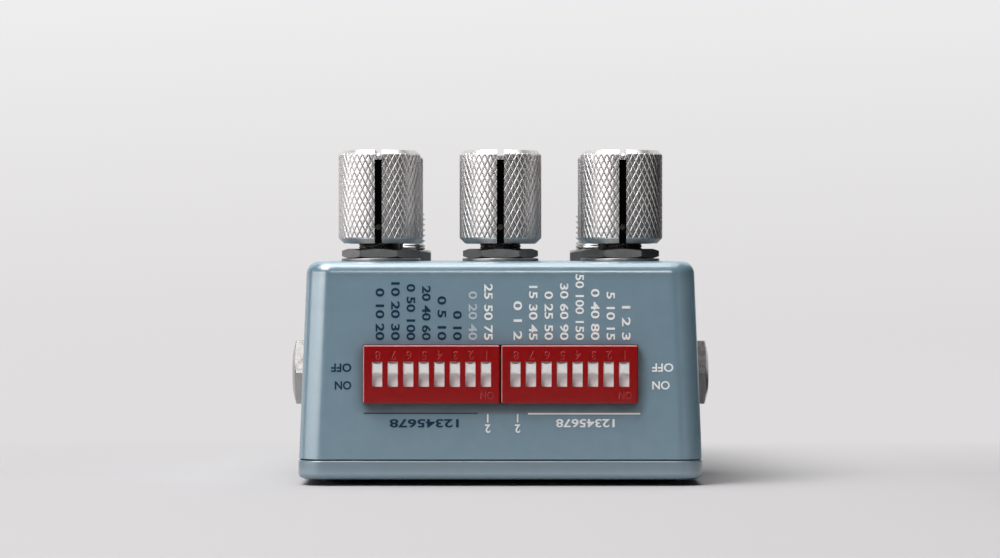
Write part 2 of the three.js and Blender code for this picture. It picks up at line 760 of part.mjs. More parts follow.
// The jack's nut: flats above and below, a corner towards the rear, and a domed outer face.
function jackNut(side) {
  const corner = jackNutFlats / 2 / Math.cos(Math.PI / 6);
  const wide = corner + jackNutDome;
  const domed = turned(
    [
      [0, 0],
      [(jackNutFlats / 2) * nutFaceShare, 0],
      [wide, 2 * jackNutChamfer + jackNutDome / 2],
      [wide, jackNutThick - 2 * jackNutDome],
      [(jackNutFlats / 2) * nutFaceShare, jackNutThick - jackNutDome],
      [jackBushRadius, jackNutThick - jackNutDome / 4],
      [jackBoreRadius, jackNutThick],
      [0, jackNutThick],
    ],
    largeSides,
  ).rotate([0, 0, 180 / largeSides]);
  const bar = hexagon(jackNutFlats, jackNutThick, 0, 0).rotate([0, 0, 90]);
  const room = rod(jackBushRadius + fixedGap, -overrun, jackNutThick - jackNutDome + fixedGap, roundSides);
  const mouth = rod(jackBoreRadius + fixedGap, -overrun, jackNutThick + overrun, roundSides);
  const nut = cutBy(bar.intersect(domed), [room, mouth]);
  return layOut(nut.translate([0, 0, jackWallX + fixedGap]), side, jackRow, jackZ);
}

function powerInlet() {
  const front = sideAt(inletZ + inletHeight / 2) - wall - runningGap;
  const mouth = sideAt(inletZ) + inletProud;
  const high = underBoardZ - inletZ;
  const [half, back] = [inletWidth / 2, front - inletLength];
  const body = block(-high, inletHeight - high, -half, half, back, front);
  const snout = rod(inletSnoutRadius, front - inletProud, mouth, roundSides);
  const bore = rod(inletBoreRadius, mouth - inletBoreDepth, mouth + overrun, roundSides);
  const pin = rod(inletPinRadius, mouth - inletBoreDepth - overrun, mouth - inletPinSetback, smallSides);
  return layOut(body.add(snout).subtract(bore).add(pin), 1, inletRow, inletZ);
}

// Circuit boards

// The main board hangs under the panel on the legs of the controls.
function mainBoard() {
  const halfX = boxWidth / 2 - boardFromSide;
  const rearY = fromRear(boardFromRear);
  const frontY = fromRear(footSwitchStart) - boardToFootSwitch;
  const level = (z) => ({ z, x: halfX, y: (frontY - rearY) / 2, radius: boardCorner });
  return loftedBox([level(underBoardZ), level(boardZ)]).translate([0, (rearY + frontY) / 2, 0]);
}

// The upright board behind the switch banks, with the header that meets the main board.
function switchBoard() {
  const [half, headerEnd] = [headerWidth / 2, bankBackY + headerReach];
  const header = block(-half, half, bankBackY, headerEnd, underBoardZ - headerHeight, underBoardZ);
  return uprightBoard(0).add(header);
}

// Materials

const finish = (color, roughness, metalness) =>
  new THREE.MeshStandardMaterial({ color, roughness, metalness });
const blueCoat = finish(0x7890a0, 0.45, 0.1);
const redMoulding = finish(0x8e141c, 0.5, 0);
const whiteMoulding = finish(0xe4e2de, 0.5, 0);
const brightAluminium = finish(0xb9b6b4, 0.35, 1);
const darkNickel = finish(0x3a3a3c, 0.4, 1);
const jackNickel = finish(0x9a9894, 0.35, 1);
const chrome = finish(0xd8d8da, 0.12, 1);
const zincSteel = finish(0x9fa2a4, 0.4, 1);
const blackRubber = finish(0x141414, 0.9, 0);
const blackMoulding = finish(0x1c1c1e, 0.6, 0);
const clearLens = finish(0xd6d2cc, 0.15, 0);
const boardLaminate = finish(0x1d4a33, 0.5, 0);

// Assembly

const pedal = new THREE.Group();

// Adds one copy of a body at a place, as a node of its own.
function place(name, body, material, position) {
  const mesh = piece(name, body, material);
  mesh.position.set(...position);
  pedal.add(mesh);
}

const corners = ["rear", "front"].flatMap((end, row) => sides.map((side, column) => ({
  name: `${end}_${side}`,
  x: 2 * column - 1,
  y: 2 * row - 1,
})));

function addEnclosure() {
  pedal.add(piece("enclosure_shell", enclosureShell(), blueCoat));
  pedal.add(piece("base_plate", basePlate(), blueCoat));
  const [screw, foot] = [lidScrew(), rubberFoot()];
  const [footX, footY] = [boxWidth / 2 - footFromSide, boxLength / 2 - footFromEnd];
  for (const { name, x, y } of corners) {
    place(`lid_screw_${name}`, screw, zincSteel, [x * screwX, y * screwY, 0]);
    place(`rubber_foot_${name}`, foot, blackRubber, [x * footX, y * footY, 0]);
  }
}

// The sliders are numbered from the right-hand end of their bank.
function addSwitchBanks() {
  const body = slider();
  sides.forEach((side, bank) => {
    pedal.add(piece(`switch_bank_${side}`, switchBank(bank), redMoulding));
    for (let slot = 0; slot < sliderCount; slot++) {
      const position = [bankCentreX(bank) + slotX(slot), 0, 0];
      place(`slider_${side}_${sliderCount - slot}`, body, whiteMoulding, position);
    }
  });
}

function addControls() {
  const [pot, cap] = [potentiometer(), knob()];
  ["rear", "front"].forEach((row, r) => {
    columns.forEach((column, c) => {
      const position = knobPlaces[r * columns.length + c];
      place(`potentiometer_${row}_${column}`, pot, darkNickel, position);
      place(`knob_${row}_${column}`, cap, brightAluminium, position);
    });
  });
  const [toggle, lever] = [toggleSwitch(), toggleLever()];
  columns.forEach((column, c) => {
    place(`toggle_switch_${column}`, toggle, darkNickel, togglePlaces[c]);
    place(`toggle_lever_${column}`, lever, chrome, togglePlaces[c]);
  });
  const [body, button, light] = [footSwitch(), footButton(), lamp()];
  sides.forEach((side, s) => {
    place(`foot_switch_${side}`, body, jackNickel, footSwitchPlaces[s]);
    place(`foot_button_${side}`, button, chrome, footSwitchPlaces[s]);
    place(`lamp_${side}`, light, clearLens, lampPlaces[s]);
  });
}

function addConnections() {
  pedal.add(piece("input_jack", jack(-1), blackMoulding));
  pedal.add(piece("input_jack_nut", jackNut(-1), jackNickel));
  pedal.add(piece("output_jack", jack(1), blackMoulding));
  pedal.add(piece("output_jack_nut", jackNut(1), jackNickel));
  pedal.add(piece("power_inlet", powerInlet(), blackMoulding));
  pedal.add(piece("main_board", mainBoard(), boardLaminate));
  pedal.add(piece("switch_board", switchBoard(), boardLaminate));
}

addEnclosure();
addSwitchBanks();
addControls();
addConnections();

// The banks stand proud of the rear wall, so the middle of the whole pedal lies behind that of the box.
pedal.position.y = (-bankFaceY - (boxLength / 2 + lidOverhang)) / 2;

export default pedal;
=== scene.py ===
import math

import bmesh
import bpy
from mathutils import Matrix, Vector


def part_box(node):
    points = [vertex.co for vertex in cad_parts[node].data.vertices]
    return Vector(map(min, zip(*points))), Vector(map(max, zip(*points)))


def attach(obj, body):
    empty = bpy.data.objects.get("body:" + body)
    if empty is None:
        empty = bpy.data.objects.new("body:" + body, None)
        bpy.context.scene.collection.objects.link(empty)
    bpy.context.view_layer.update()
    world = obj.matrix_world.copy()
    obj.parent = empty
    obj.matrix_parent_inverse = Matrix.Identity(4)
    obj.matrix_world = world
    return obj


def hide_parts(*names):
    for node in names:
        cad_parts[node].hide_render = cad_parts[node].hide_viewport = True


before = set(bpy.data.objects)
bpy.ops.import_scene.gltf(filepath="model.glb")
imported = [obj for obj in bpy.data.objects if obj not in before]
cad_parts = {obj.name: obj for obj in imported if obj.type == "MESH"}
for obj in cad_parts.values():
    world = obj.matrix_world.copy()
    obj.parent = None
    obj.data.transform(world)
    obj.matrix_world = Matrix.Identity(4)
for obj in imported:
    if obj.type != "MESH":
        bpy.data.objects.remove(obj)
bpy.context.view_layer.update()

# Guitar effects pedal: the looks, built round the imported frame. The switch banks face -Y.
# Sizes in the dictionaries are millimetres; each mesh is made in millimetres and scaled at the end.
mm = 0.001
weld = 0.0005  # points closer than this are one
over = 1.0  # a cutting shape runs this far past what it cuts
housing = "housing"
sides = ("left", "right")
columns = ("left", "middle", "right")
rows = ("rear", "front")


# places taken from the frame

def boxOf(node):
    low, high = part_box(node)
    return low / mm, high / mm


def middleOf(node):
    low, high = boxOf(node)
    return (low + high) / 2


def shift(x=0.0, y=0.0, z=0.0):
    return Matrix.Translation((x, y, z))


def turn(degrees, axis):
    return Matrix.Rotation(math.radians(degrees), 4, axis)


def spotsOf(nodes, z=0.0):
    # where each node's middle is in plan, at one height
    middles = [middleOf(node) for node in nodes]
    return [(middle.x, middle.y, z) for middle in middles]


def moveOf(node):
    # the move from the origin to a node's middle in plan
    middle = middleOf(node)
    return shift(middle.x, middle.y)


def movesOf(nodes):
    return [moveOf(node) for node in nodes]


# meshes

def newPiece(name, shape, *materials):
    mesh = bpy.data.meshes.new(name)
    shape.to_mesh(mesh)
    shape.free()
    for material in materials:
        mesh.materials.append(material)
    return linked(name, mesh)


def linked(name, data):
    piece = bpy.data.objects.new(name, data)
    bpy.context.scene.collection.objects.link(piece)
    return piece


def bake(piece):
    # the evaluated object becomes a plain mesh, and its modifiers go
    view = bpy.context.evaluated_depsgraph_get()
    made = bpy.data.meshes.new_from_object(piece.evaluated_get(view), depsgraph=view)
    old = piece.data
    piece.modifiers.clear()
    piece.data = made
    bpy.data.meshes.remove(old)
    made.name = piece.name
    return piece


def carve(piece, shape, material=None, operation="DIFFERENCE"):
    tool = newPiece("tool", shape, material or piece.data.materials[0])
    cut = piece.modifiers.new("cut", "BOOLEAN")
    cut.operation = operation
    cut.solver = "EXACT"
    cut.material_mode = "TRANSFER"
    cut.object = tool
    bake(piece)
    drop(tool)


def drop(piece):
    bpy.data.objects.remove(piece)


def unite(piece, other):
    # the other piece is added to the first, and goes
    carve(piece, shapeOf(other), operation="UNION")
    drop(other)


def bevel(piece, width, segments=3, angle=40):
    edge = piece.modifiers.new("edge", "BEVEL")
    edge.width = width
    edge.segments = segments
    edge.limit_method = "ANGLE"
    edge.angle_limit = math.radians(angle)
    edge.harden_normals = False
    bake(piece)


def settle(piece, body, slot, *nodes, edge=30, weighted=False):
    # merged, turned outwards, scaled to metres, smoothed up to an edge angle, and fixed to its body
    shape = bmesh.new()
    shape.from_mesh(piece.data)
    bmesh.ops.remove_doubles(shape, verts=shape.verts, dist=weld)
    bmesh.ops.recalc_face_normals(shape, faces=shape.faces)
    shape.to_mesh(piece.data)
    shape.free()
    piece.data.transform(Matrix.Scale(mm, 4))
    piece.data.shade_smooth()
    piece.data.set_sharp_from_angle(angle=math.radians(edge))
    if weighted:
        even = piece.modifiers.new("even", "WEIGHTED_NORMAL")
        even.keep_sharp = True
        bake(piece)
    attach(piece, body)
    if nodes:
        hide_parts(*nodes)


def dress(node, name, original, slot, move, edge=30):
    # a copy of the original takes the place of a moving node, on that node's own body
    piece = newPiece(name, moved(shapeOf(original), move), *original.data.materials)
    settle(piece, node, slot, node, edge=edge)


def shapeOf(piece):
    shape = bmesh.new()
    shape.from_mesh(piece.data)
    return shape


def copies(shape, moves):
    # one mesh that holds a copy of the shape at each place
    whole = bmesh.new()
    mesh = bpy.data.meshes.new("copy")
    for move in moves:
        shape.to_mesh(mesh)
        mesh.transform(move)
        whole.from_mesh(mesh)
    bpy.data.meshes.remove(mesh)
    shape.free()
    return whole


def join(whole, shape):
    # the second shape is added to the first, and goes
    mesh = bpy.data.meshes.new("join")
    shape.to_mesh(mesh)
    shape.free()
    whole.from_mesh(mesh)
    bpy.data.meshes.remove(mesh)


def moved(shape, move):
    bmesh.ops.transform(shape, matrix=move, verts=shape.verts)
    return shape


def block(x0, x1, y0, y1, z0, z1):
    shape = bmesh.new()
    size = Matrix.Diagonal((x1 - x0, y1 - y0, z1 - z0, 1))
    middle = shift((x0 + x1) / 2, (y0 + y1) / 2, (z0 + z1) / 2)
    bmesh.ops.create_cube(shape, size=1, matrix=middle @ size)
    return shape


def arc(centre, radius, start, end, steps):
    # points along a circle, as [across, up] pairs, between two angles in degrees
    points = []
    for step in range(steps + 1):
        angle = math.radians(start + (end - start) * step / steps)
        points.append((centre[0] + radius * math.cos(angle), centre[1] + radius * math.sin(angle)))
    return points


def turned(profile, around=64):
    # a profile of (radius, height) points turned round Z; it ends on the axis or closes on itself
    shape = bmesh.new()
    rings = []
    for radius, z in profile:
        if radius < weld:
            rings.append([shape.verts.new((0, 0, z))])
            continue
        angles = [2 * math.pi * step / around for step in range(around)]
        rings.append([shape.verts.new((radius * math.cos(a), radius * math.sin(a), z)) for a in angles])
    if len(rings[0]) > 1:
        rings.append(rings[0])
    for low, high in zip(rings, rings[1:]):
        for i in range(around):
            j = i + 1
            corners = [low[i % len(low)], low[j % len(low)], high[j % len(high)], high[i % len(high)]]
            unique = list(dict.fromkeys(corners))
            if len(unique) > 2:
                shape.faces.new(unique)
    return shape


def rod(radius, z0, z1, around=64):
    return turned([(0, z0), (radius, z0), (radius, z1), (0, z1)], around)


def roundedRing(x, y, z, radius, steps):
    # a rounded rectangle as a ring of points at one height
    points = []
    for quarter in range(4):
        signX = 1 if quarter in (0, 3) else -1
        signY = 1 if quarter < 2 else -1
        middle = (signX * (x - radius), signY * (y - radius))
        for across, along in arc(middle, radius, quarter * 90, quarter * 90 + 90, steps):
            points.append((across, along, z))
    return points


def lofted(rings):
    shape = bmesh.new()
    levels = [[shape.verts.new(point) for point in ring] for ring in rings]
    for low, high in zip(levels, levels[1:]):
        for i in range(len(low)):
            j = (i + 1) % len(low)
            shape.faces.new((low[i], low[j], high[j], high[i]))
    shape.faces.new(list(reversed(levels[0])))
    shape.faces.new(levels[-1])
    return shape


def extruded(outline, y0, y1):
    # an outline of (x, z) points, drawn out along Y
    shape = bmesh.new()
    near = [shape.verts.new((x, y0, z)) for x, z in outline]
    far = [shape.verts.new((x, y1, z)) for x, z in outline]
    for i in range(len(near)):
        j = (i + 1) % len(near)
        shape.faces.new((near[i], near[j], far[j], far[i]))
    shape.faces.new(near)
    shape.faces.new(list(reversed(far)))
    return shape


def letters(text, height, bold, depth, width=None):
    # solid characters in the XY plane, centred on the origin, stretched only where a width is given
    curve = bpy.data.curves.new("letters", "FONT")
    curve.body = text
    curve.size = 1
    curve.offset = bold
    curve.extrude = 0.5  # one unit thick, until it is scaled below
    curve.resolution_u = 4
    piece = linked("letters", curve)
    view = bpy.context.evaluated_depsgraph_get()
    mesh = bpy.data.meshes.new_from_object(piece.evaluated_get(view))
    shape = bmesh.new()
    shape.from_mesh(mesh)
    bpy.data.meshes.remove(mesh)
    drop(piece)
    bmesh.ops.remove_doubles(shape, verts=shape.verts, dist=weld / 10)
    spanX = [vertex.co.x for vertex in shape.verts]
    spanY = [vertex.co.y for vertex in shape.verts]
    tall = height / (max(spanY) - min(spanY))
    wide = width / (max(spanX) - min(spanX)) if width else tall
    size = Matrix.Diagonal((wide, tall, depth, 1))
    centre = shift(-(max(spanX) + min(spanX)) / 2, -(max(spanY) + min(spanY)) / 2)
    return moved(shape, size @ centre)


# node trees

class Wire:
    # a number that runs between nodes, so that a formula can be written as one
    def __init__(self, tree, socket):
        self.tree = tree
        self.socket = socket

    def step(self, operation, *others):
        node = self.tree.nodes.new("ShaderNodeMath")
        node.operation = operation
        for value, socket in zip((self, *others), node.inputs):
            plug(self.tree, value, socket)
        return Wire(self.tree, node.outputs[0])

    def __add__(self, other):
        return self.step("ADD", other)

    def __sub__(self, other):
        return self.step("SUBTRACT", other)

    def __mul__(self, other):
        return self.step("MULTIPLY", other)

    def __truediv__(self, other):
        return self.step("DIVIDE", other)

    def least(self, other):
        return self.step("MINIMUM", other)

    def most(self, other):
        return self.step("MAXIMUM", other)

    def zigzag(self):
        # rises from 0 to 1 and falls back once in each whole number
        return self.step("PINGPONG", 0.5) * 2

    def equals(self, value):
        return self.step("COMPARE", value, 0.1)


def plug(tree, value, socket):
    if isinstance(value, Wire):
        tree.links.new(value.socket, socket)
    elif isinstance(value, bpy.types.NodeSocket):
        tree.links.new(value, socket)
    else:
        socket.default_value = value


def addNode(tree, kind, inputs=None, **settings):
    node = tree.nodes.new(kind)
    for name, value in settings.items():
        setattr(node, name, value)
    for name, value in (inputs or {}).items():
        plug(tree, value, node.inputs[name])
    return node


kinds = {float: "NodeSocketFloat", int: "NodeSocketInt", "material": "NodeSocketMaterial",
         "object": "NodeSocketObject"}


def newTree(name, inputs):
    # a Geometry Nodes tree with named inputs, and those inputs as wires
    tree = bpy.data.node_groups.new(name, "GeometryNodeTree")
    tree.interface.new_socket("Geometry", in_out="INPUT", socket_type="NodeSocketGeometry")
    for label, kind in inputs.items():
        tree.interface.new_socket(label, in_out="INPUT", socket_type=kinds[kind])
    tree.interface.new_socket("Geometry", in_out="OUTPUT", socket_type="NodeSocketGeometry")
    start = tree.nodes.new("NodeGroupInput")
    given = {label: Wire(tree, start.outputs[label]) for label in ("Geometry", *inputs)}
    return tree, given


def endTree(tree, geometry, material):
    whole = addNode(tree, "GeometryNodeRealizeInstances", {"Geometry": geometry}).outputs[0]
    painted = addNode(tree, "GeometryNodeSetMaterial", {"Geometry": whole, "Material": material})
    end = tree.nodes.new("NodeGroupOutput")
    tree.links.new(painted.outputs[0], end.inputs["Geometry"])


def runTree(name, tree, values, points=((0, 0, 0),)):
    mesh = bpy.data.meshes.new(name)
    mesh.from_pydata(points, [], [])
    piece = linked(name, mesh)
    modifier = piece.modifiers.new(tree.name, "NODES")
    modifier.node_group = tree
    for item in tree.interface.items_tree:
        if item.in_out == "INPUT" and item.name in values:
            modifier[item.identifier] = values[item.name]
    return bake(piece)


def stepGrid(tree, across, along):
    # a flat grid with one unit a step, and the step numbers of its points
    grid = addNode(tree, "GeometryNodeMeshGrid", {
        "Size X": across, "Size Y": along, "Vertices X": across + 1, "Vertices Y": along + 1})
    position = addNode(tree, "GeometryNodeInputPosition")
    split = addNode(tree, "ShaderNodeSeparateXYZ", {"Vector": position.outputs[0]})
    column = Wire(tree, split.outputs["X"]) + across / 2
    row = Wire(tree, split.outputs["Y"]) + along / 2
    return grid.outputs["Mesh"], column, row


def wrapped(tree, mesh, radius, angle, z):
    # the grid's points set round the Z axis, with the seam and the poles closed
    spot = addNode(tree, "ShaderNodeCombineXYZ", {
        "X": radius * angle.step("COSINE"), "Y": radius * angle.step("SINE"), "Z": z})
    placed = addNode(tree, "GeometryNodeSetPosition", {"Geometry": mesh, "Position": spot.outputs[0]})
    merged = addNode(tree, "GeometryNodeMergeByDistance", {"Geometry": placed.outputs[0], "Distance": weld})
    return merged.outputs[0]


def knurledTree():
    # a round cap with a diamond knurl, chamfered after it was knurled
    tree, given = newTree("knurled cap", {
        "Radius": float, "Height": float, "Diamonds": int, "Steps": int, "Rows": int, "Depth": float,
        "Flat Share": float, "Top Chamfer": float, "Bottom Chamfer": float, "Material": "material"})
    across = given["Diamonds"] * given["Steps"]
    grid, column, row = stepGrid(tree, across, given["Rows"] + 2)
    level = (row - 1).most(0).least(given["Rows"])
    pole = row.equals(0).most(row.equals(given["Rows"] + 2))  # both end rows lie on the axis
    u, t = column / given["Steps"], level / given["Steps"]
    rising = ((u * 2).step("FLOOR") + (t * 2).step("FLOOR")).step("MODULO", 2)
    halves = addNode(tree, "GeometryNodeTriangulate", {"Mesh": grid, "Selection": rising},
                     quad_method="FIXED_ALTERNATE")
    facets = addNode(tree, "GeometryNodeTriangulate", {"Mesh": halves.outputs[0]}, quad_method="FIXED")
    relief = ((u + t).zigzag().least((u - t).zigzag()) / given["Flat Share"]).least(1)
    knurl = given["Radius"] - given["Depth"] * (relief * -1 + 1)
    z = level / given["Rows"] * given["Height"]
    lowCone = given["Radius"] - given["Bottom Chamfer"] + z
    highCone = given["Radius"] - given["Top Chamfer"] + (given["Height"] - z)
    radius = knurl.least(lowCone).least(highCone) * (pole * -1 + 1)
    endTree(tree, wrapped(tree, facets.outputs[0], radius, column / across * (2 * math.pi), z),
            given["Material"])
    return tree


def threadTree():
    # a threaded rod with its upper end chamfered
    tree, given = newTree("threaded rod", {
        "Radius": float, "Bottom": float, "Pitch": float, "Turns": int, "Around": int, "Steps": int,
        "Depth": float, "Crest Share": float, "Chamfer": float, "Material": "material"})
    last = given["Turns"] * given["Steps"]
    grid, column, row = stepGrid(tree, given["Around"], last + 2)
    level = (row - 1).most(0).least(last)
    pole = row.equals(0).most(row.equals(last + 2))
    share = column / given["Around"]
    relief = ((level / given["Steps"] + share).zigzag() / given["Crest Share"]).least(1)
    z = given["Bottom"] + level / given["Steps"] * given["Pitch"]
    top = given["Bottom"] + given["Turns"] * given["Pitch"]
    cone = given["Radius"] - given["Chamfer"] + (top - z)
    thread = given["Radius"] - given["Depth"] * (relief * -1 + 1)
    radius = thread.least(cone) * (pole * -1 + 1)
    endTree(tree, wrapped(tree, grid, radius, share * (2 * math.pi), z), given["Material"])
    return tree


def nutTree():
    # a hexagon nut: its faces turned down by cones or domed, with flats that end in arcs
    tree, given = newTree("hexagon nut", {
        "Flats": float, "Height": float, "Bore": float, "Face": float, "Low Slope": float,
        "High Slope": float, "Dome": float, "Around": int, "Turn": float, "Material": "material"})
    bore, face = given["Bore"], given["Face"]
    grid, column, row = stepGrid(tree, given["Around"], 9)
    angle = column / given["Around"] * (2 * math.pi)
    hexagon = given["Flats"] / 2 / angle.step("PINGPONG", math.pi / 6).step("COSINE")
    # the section's ten points: out along the foot, up the flat, and back in over the face
    span = face - bore
    radii = [bore, face, hexagon, hexagon, face, bore + span * 0.75, bore + span * 0.5, bore + span * 0.25,
             bore, bore]
    radius = row.equals(0) * bore
    for number, value in enumerate(radii[1:], 1):
        radius = radius + row.equals(number) * value
    above = row.step("GREATER_THAN", 2.5) * row.step("LESS_THAN", 8.5)  # the points from 3 to 8
    beyond = (radius - face).most(0)
    domeShare = (radius * radius - bore * bore) / (face * face - bore * bore)
    low = beyond * given["Low Slope"]
    high = given["Height"] - beyond * given["High Slope"] - given["Dome"] * domeShare
    z = above * high + (above * -1 + 1) * low
    endTree(tree, wrapped(tree, grid, radius, angle + given["Turn"], z), given["Material"])
    return tree


def copiesTree():
    # copies of a finished piece on the points of the base mesh
    tree, given = newTree("copies on points", {"Original": "object", "Material": "material"})
    original = addNode(tree, "GeometryNodeObjectInfo", {"Object": given["Original"]})
    spread = addNode(tree, "GeometryNodeInstanceOnPoints", {
        "Points": given["Geometry"], "Instance": original.outputs["Geometry"]})
    endTree(tree, spread.outputs[0], given["Material"])
    return tree


trees = {"knurl": knurledTree(), "thread": threadTree(), "nut": nutTree(), "copies": copiesTree()}


def setOut(name, original, nodes, slot, *replaced, z=0.0):
    # a copy of the original at each node, as one piece on the housing; a mesh out of a tree has an empty
    # slot before its own material
    material = next(filter(None, original.data.materials))
    values = {"Original": original, "Material": material}
    piece = runTree(name, trees["copies"], values, spotsOf(nodes, z))
    drop(original)
    settle(piece, housing, slot, *replaced)


# finishes

black = (0, 0, 0, 1)


def linear(colour):
    # screen values from 0 to 255 as a linear colour
    values = [value / 255 for value in colour]
    return [v / 12.92 if v <= 0.04045 else ((v + 0.055) / 1.055) ** 2.4 for v in values] + [1]


def noiseOf(tree, place, size, detail=2.0, roughness=0.5):
    # a noise whose spots are about one size wide, in millimetres
    noise = addNode(tree, "ShaderNodeTexNoise", {
        "Vector": place, "Scale": 1 / (size * mm), "Detail": detail, "Roughness": roughness})
    return noise.outputs[0]


def spread(tree, value, low, high):
    # a noise seldom leaves 0.3 to 0.7, so that much is spread over the range wanted
    ranged = addNode(tree, "ShaderNodeMapRange", {
        "Value": value, "From Min": 0.3, "From Max": 0.7, "To Min": low, "To Max": high})
    return ranged.outputs[0]


def shadeOf(tree, share, first, second):
    # a colour between two others, each a value or an output
    mixed = addNode(tree, "ShaderNodeMix", {0: share, 6: first, 7: second}, data_type="RGBA")
    return mixed.outputs[2]


def finishOf(name, look):
    # a finish with a mottled colour, an uneven gloss and a fine grain, all on object coordinates
    material = bpy.data.materials.new(name)
    material.use_nodes = True
    tree = material.node_tree
    shader = tree.nodes["Principled BSDF"]
    place = addNode(tree, "ShaderNodeTexCoord").outputs["Object"]
    if "stretch" in look:
        place = addNode(tree, "ShaderNodeMapping", {"Vector": place, "Scale": look["stretch"]}).outputs[0]
    mottle = spread(tree, noiseOf(tree, place, look["mottleSize"], detail=4), 0, 1)
    colour = shadeOf(tree, mottle, linear(look["colour"]), linear(look["mottle"]))
    if "paintedShade" in look:
        # painted shade: the colour is darkened where an occlusion probe finds the way out closed, in
        # crevices and under what stands out
        paintedShade = look["paintedShade"]
        reach = paintedShade["reach"] * mm
        shadeProbe = addNode(tree, "ShaderNodeAmbientOcclusion", {"Distance": reach}, samples=32)
        if "towards" in paintedShade:
            way = addNode(tree, "ShaderNodeCombineXYZ", dict(zip("XYZ", paintedShade["towards"])))
            tree.links.new(way.outputs[0], shadeProbe.inputs["Normal"])
        shadeShare = Wire(tree, shadeProbe.outputs["AO"]) * -paintedShade["share"] + paintedShade["share"]
        colour = shadeOf(tree, shadeShare, colour, black)
    tree.links.new(colour, shader.inputs["Base Color"])
    gloss = spread(tree, noiseOf(tree, place, look["glossSize"], detail=3), *look["roughness"])
    tree.links.new(gloss, shader.inputs["Roughness"])
    bumps = noiseOf(tree, place, look["grainSize"], detail=3, roughness=0.6)
    grain = addNode(tree, "ShaderNodeBump", {"Height": bumps, "Strength": 1, "Distance": look["grain"] * mm})
    tree.links.new(grain.outputs[0], shader.inputs["Normal"])
    for socket, value in look.get("shader", {}).items():
        shader.inputs[socket].default_value = value
    return material


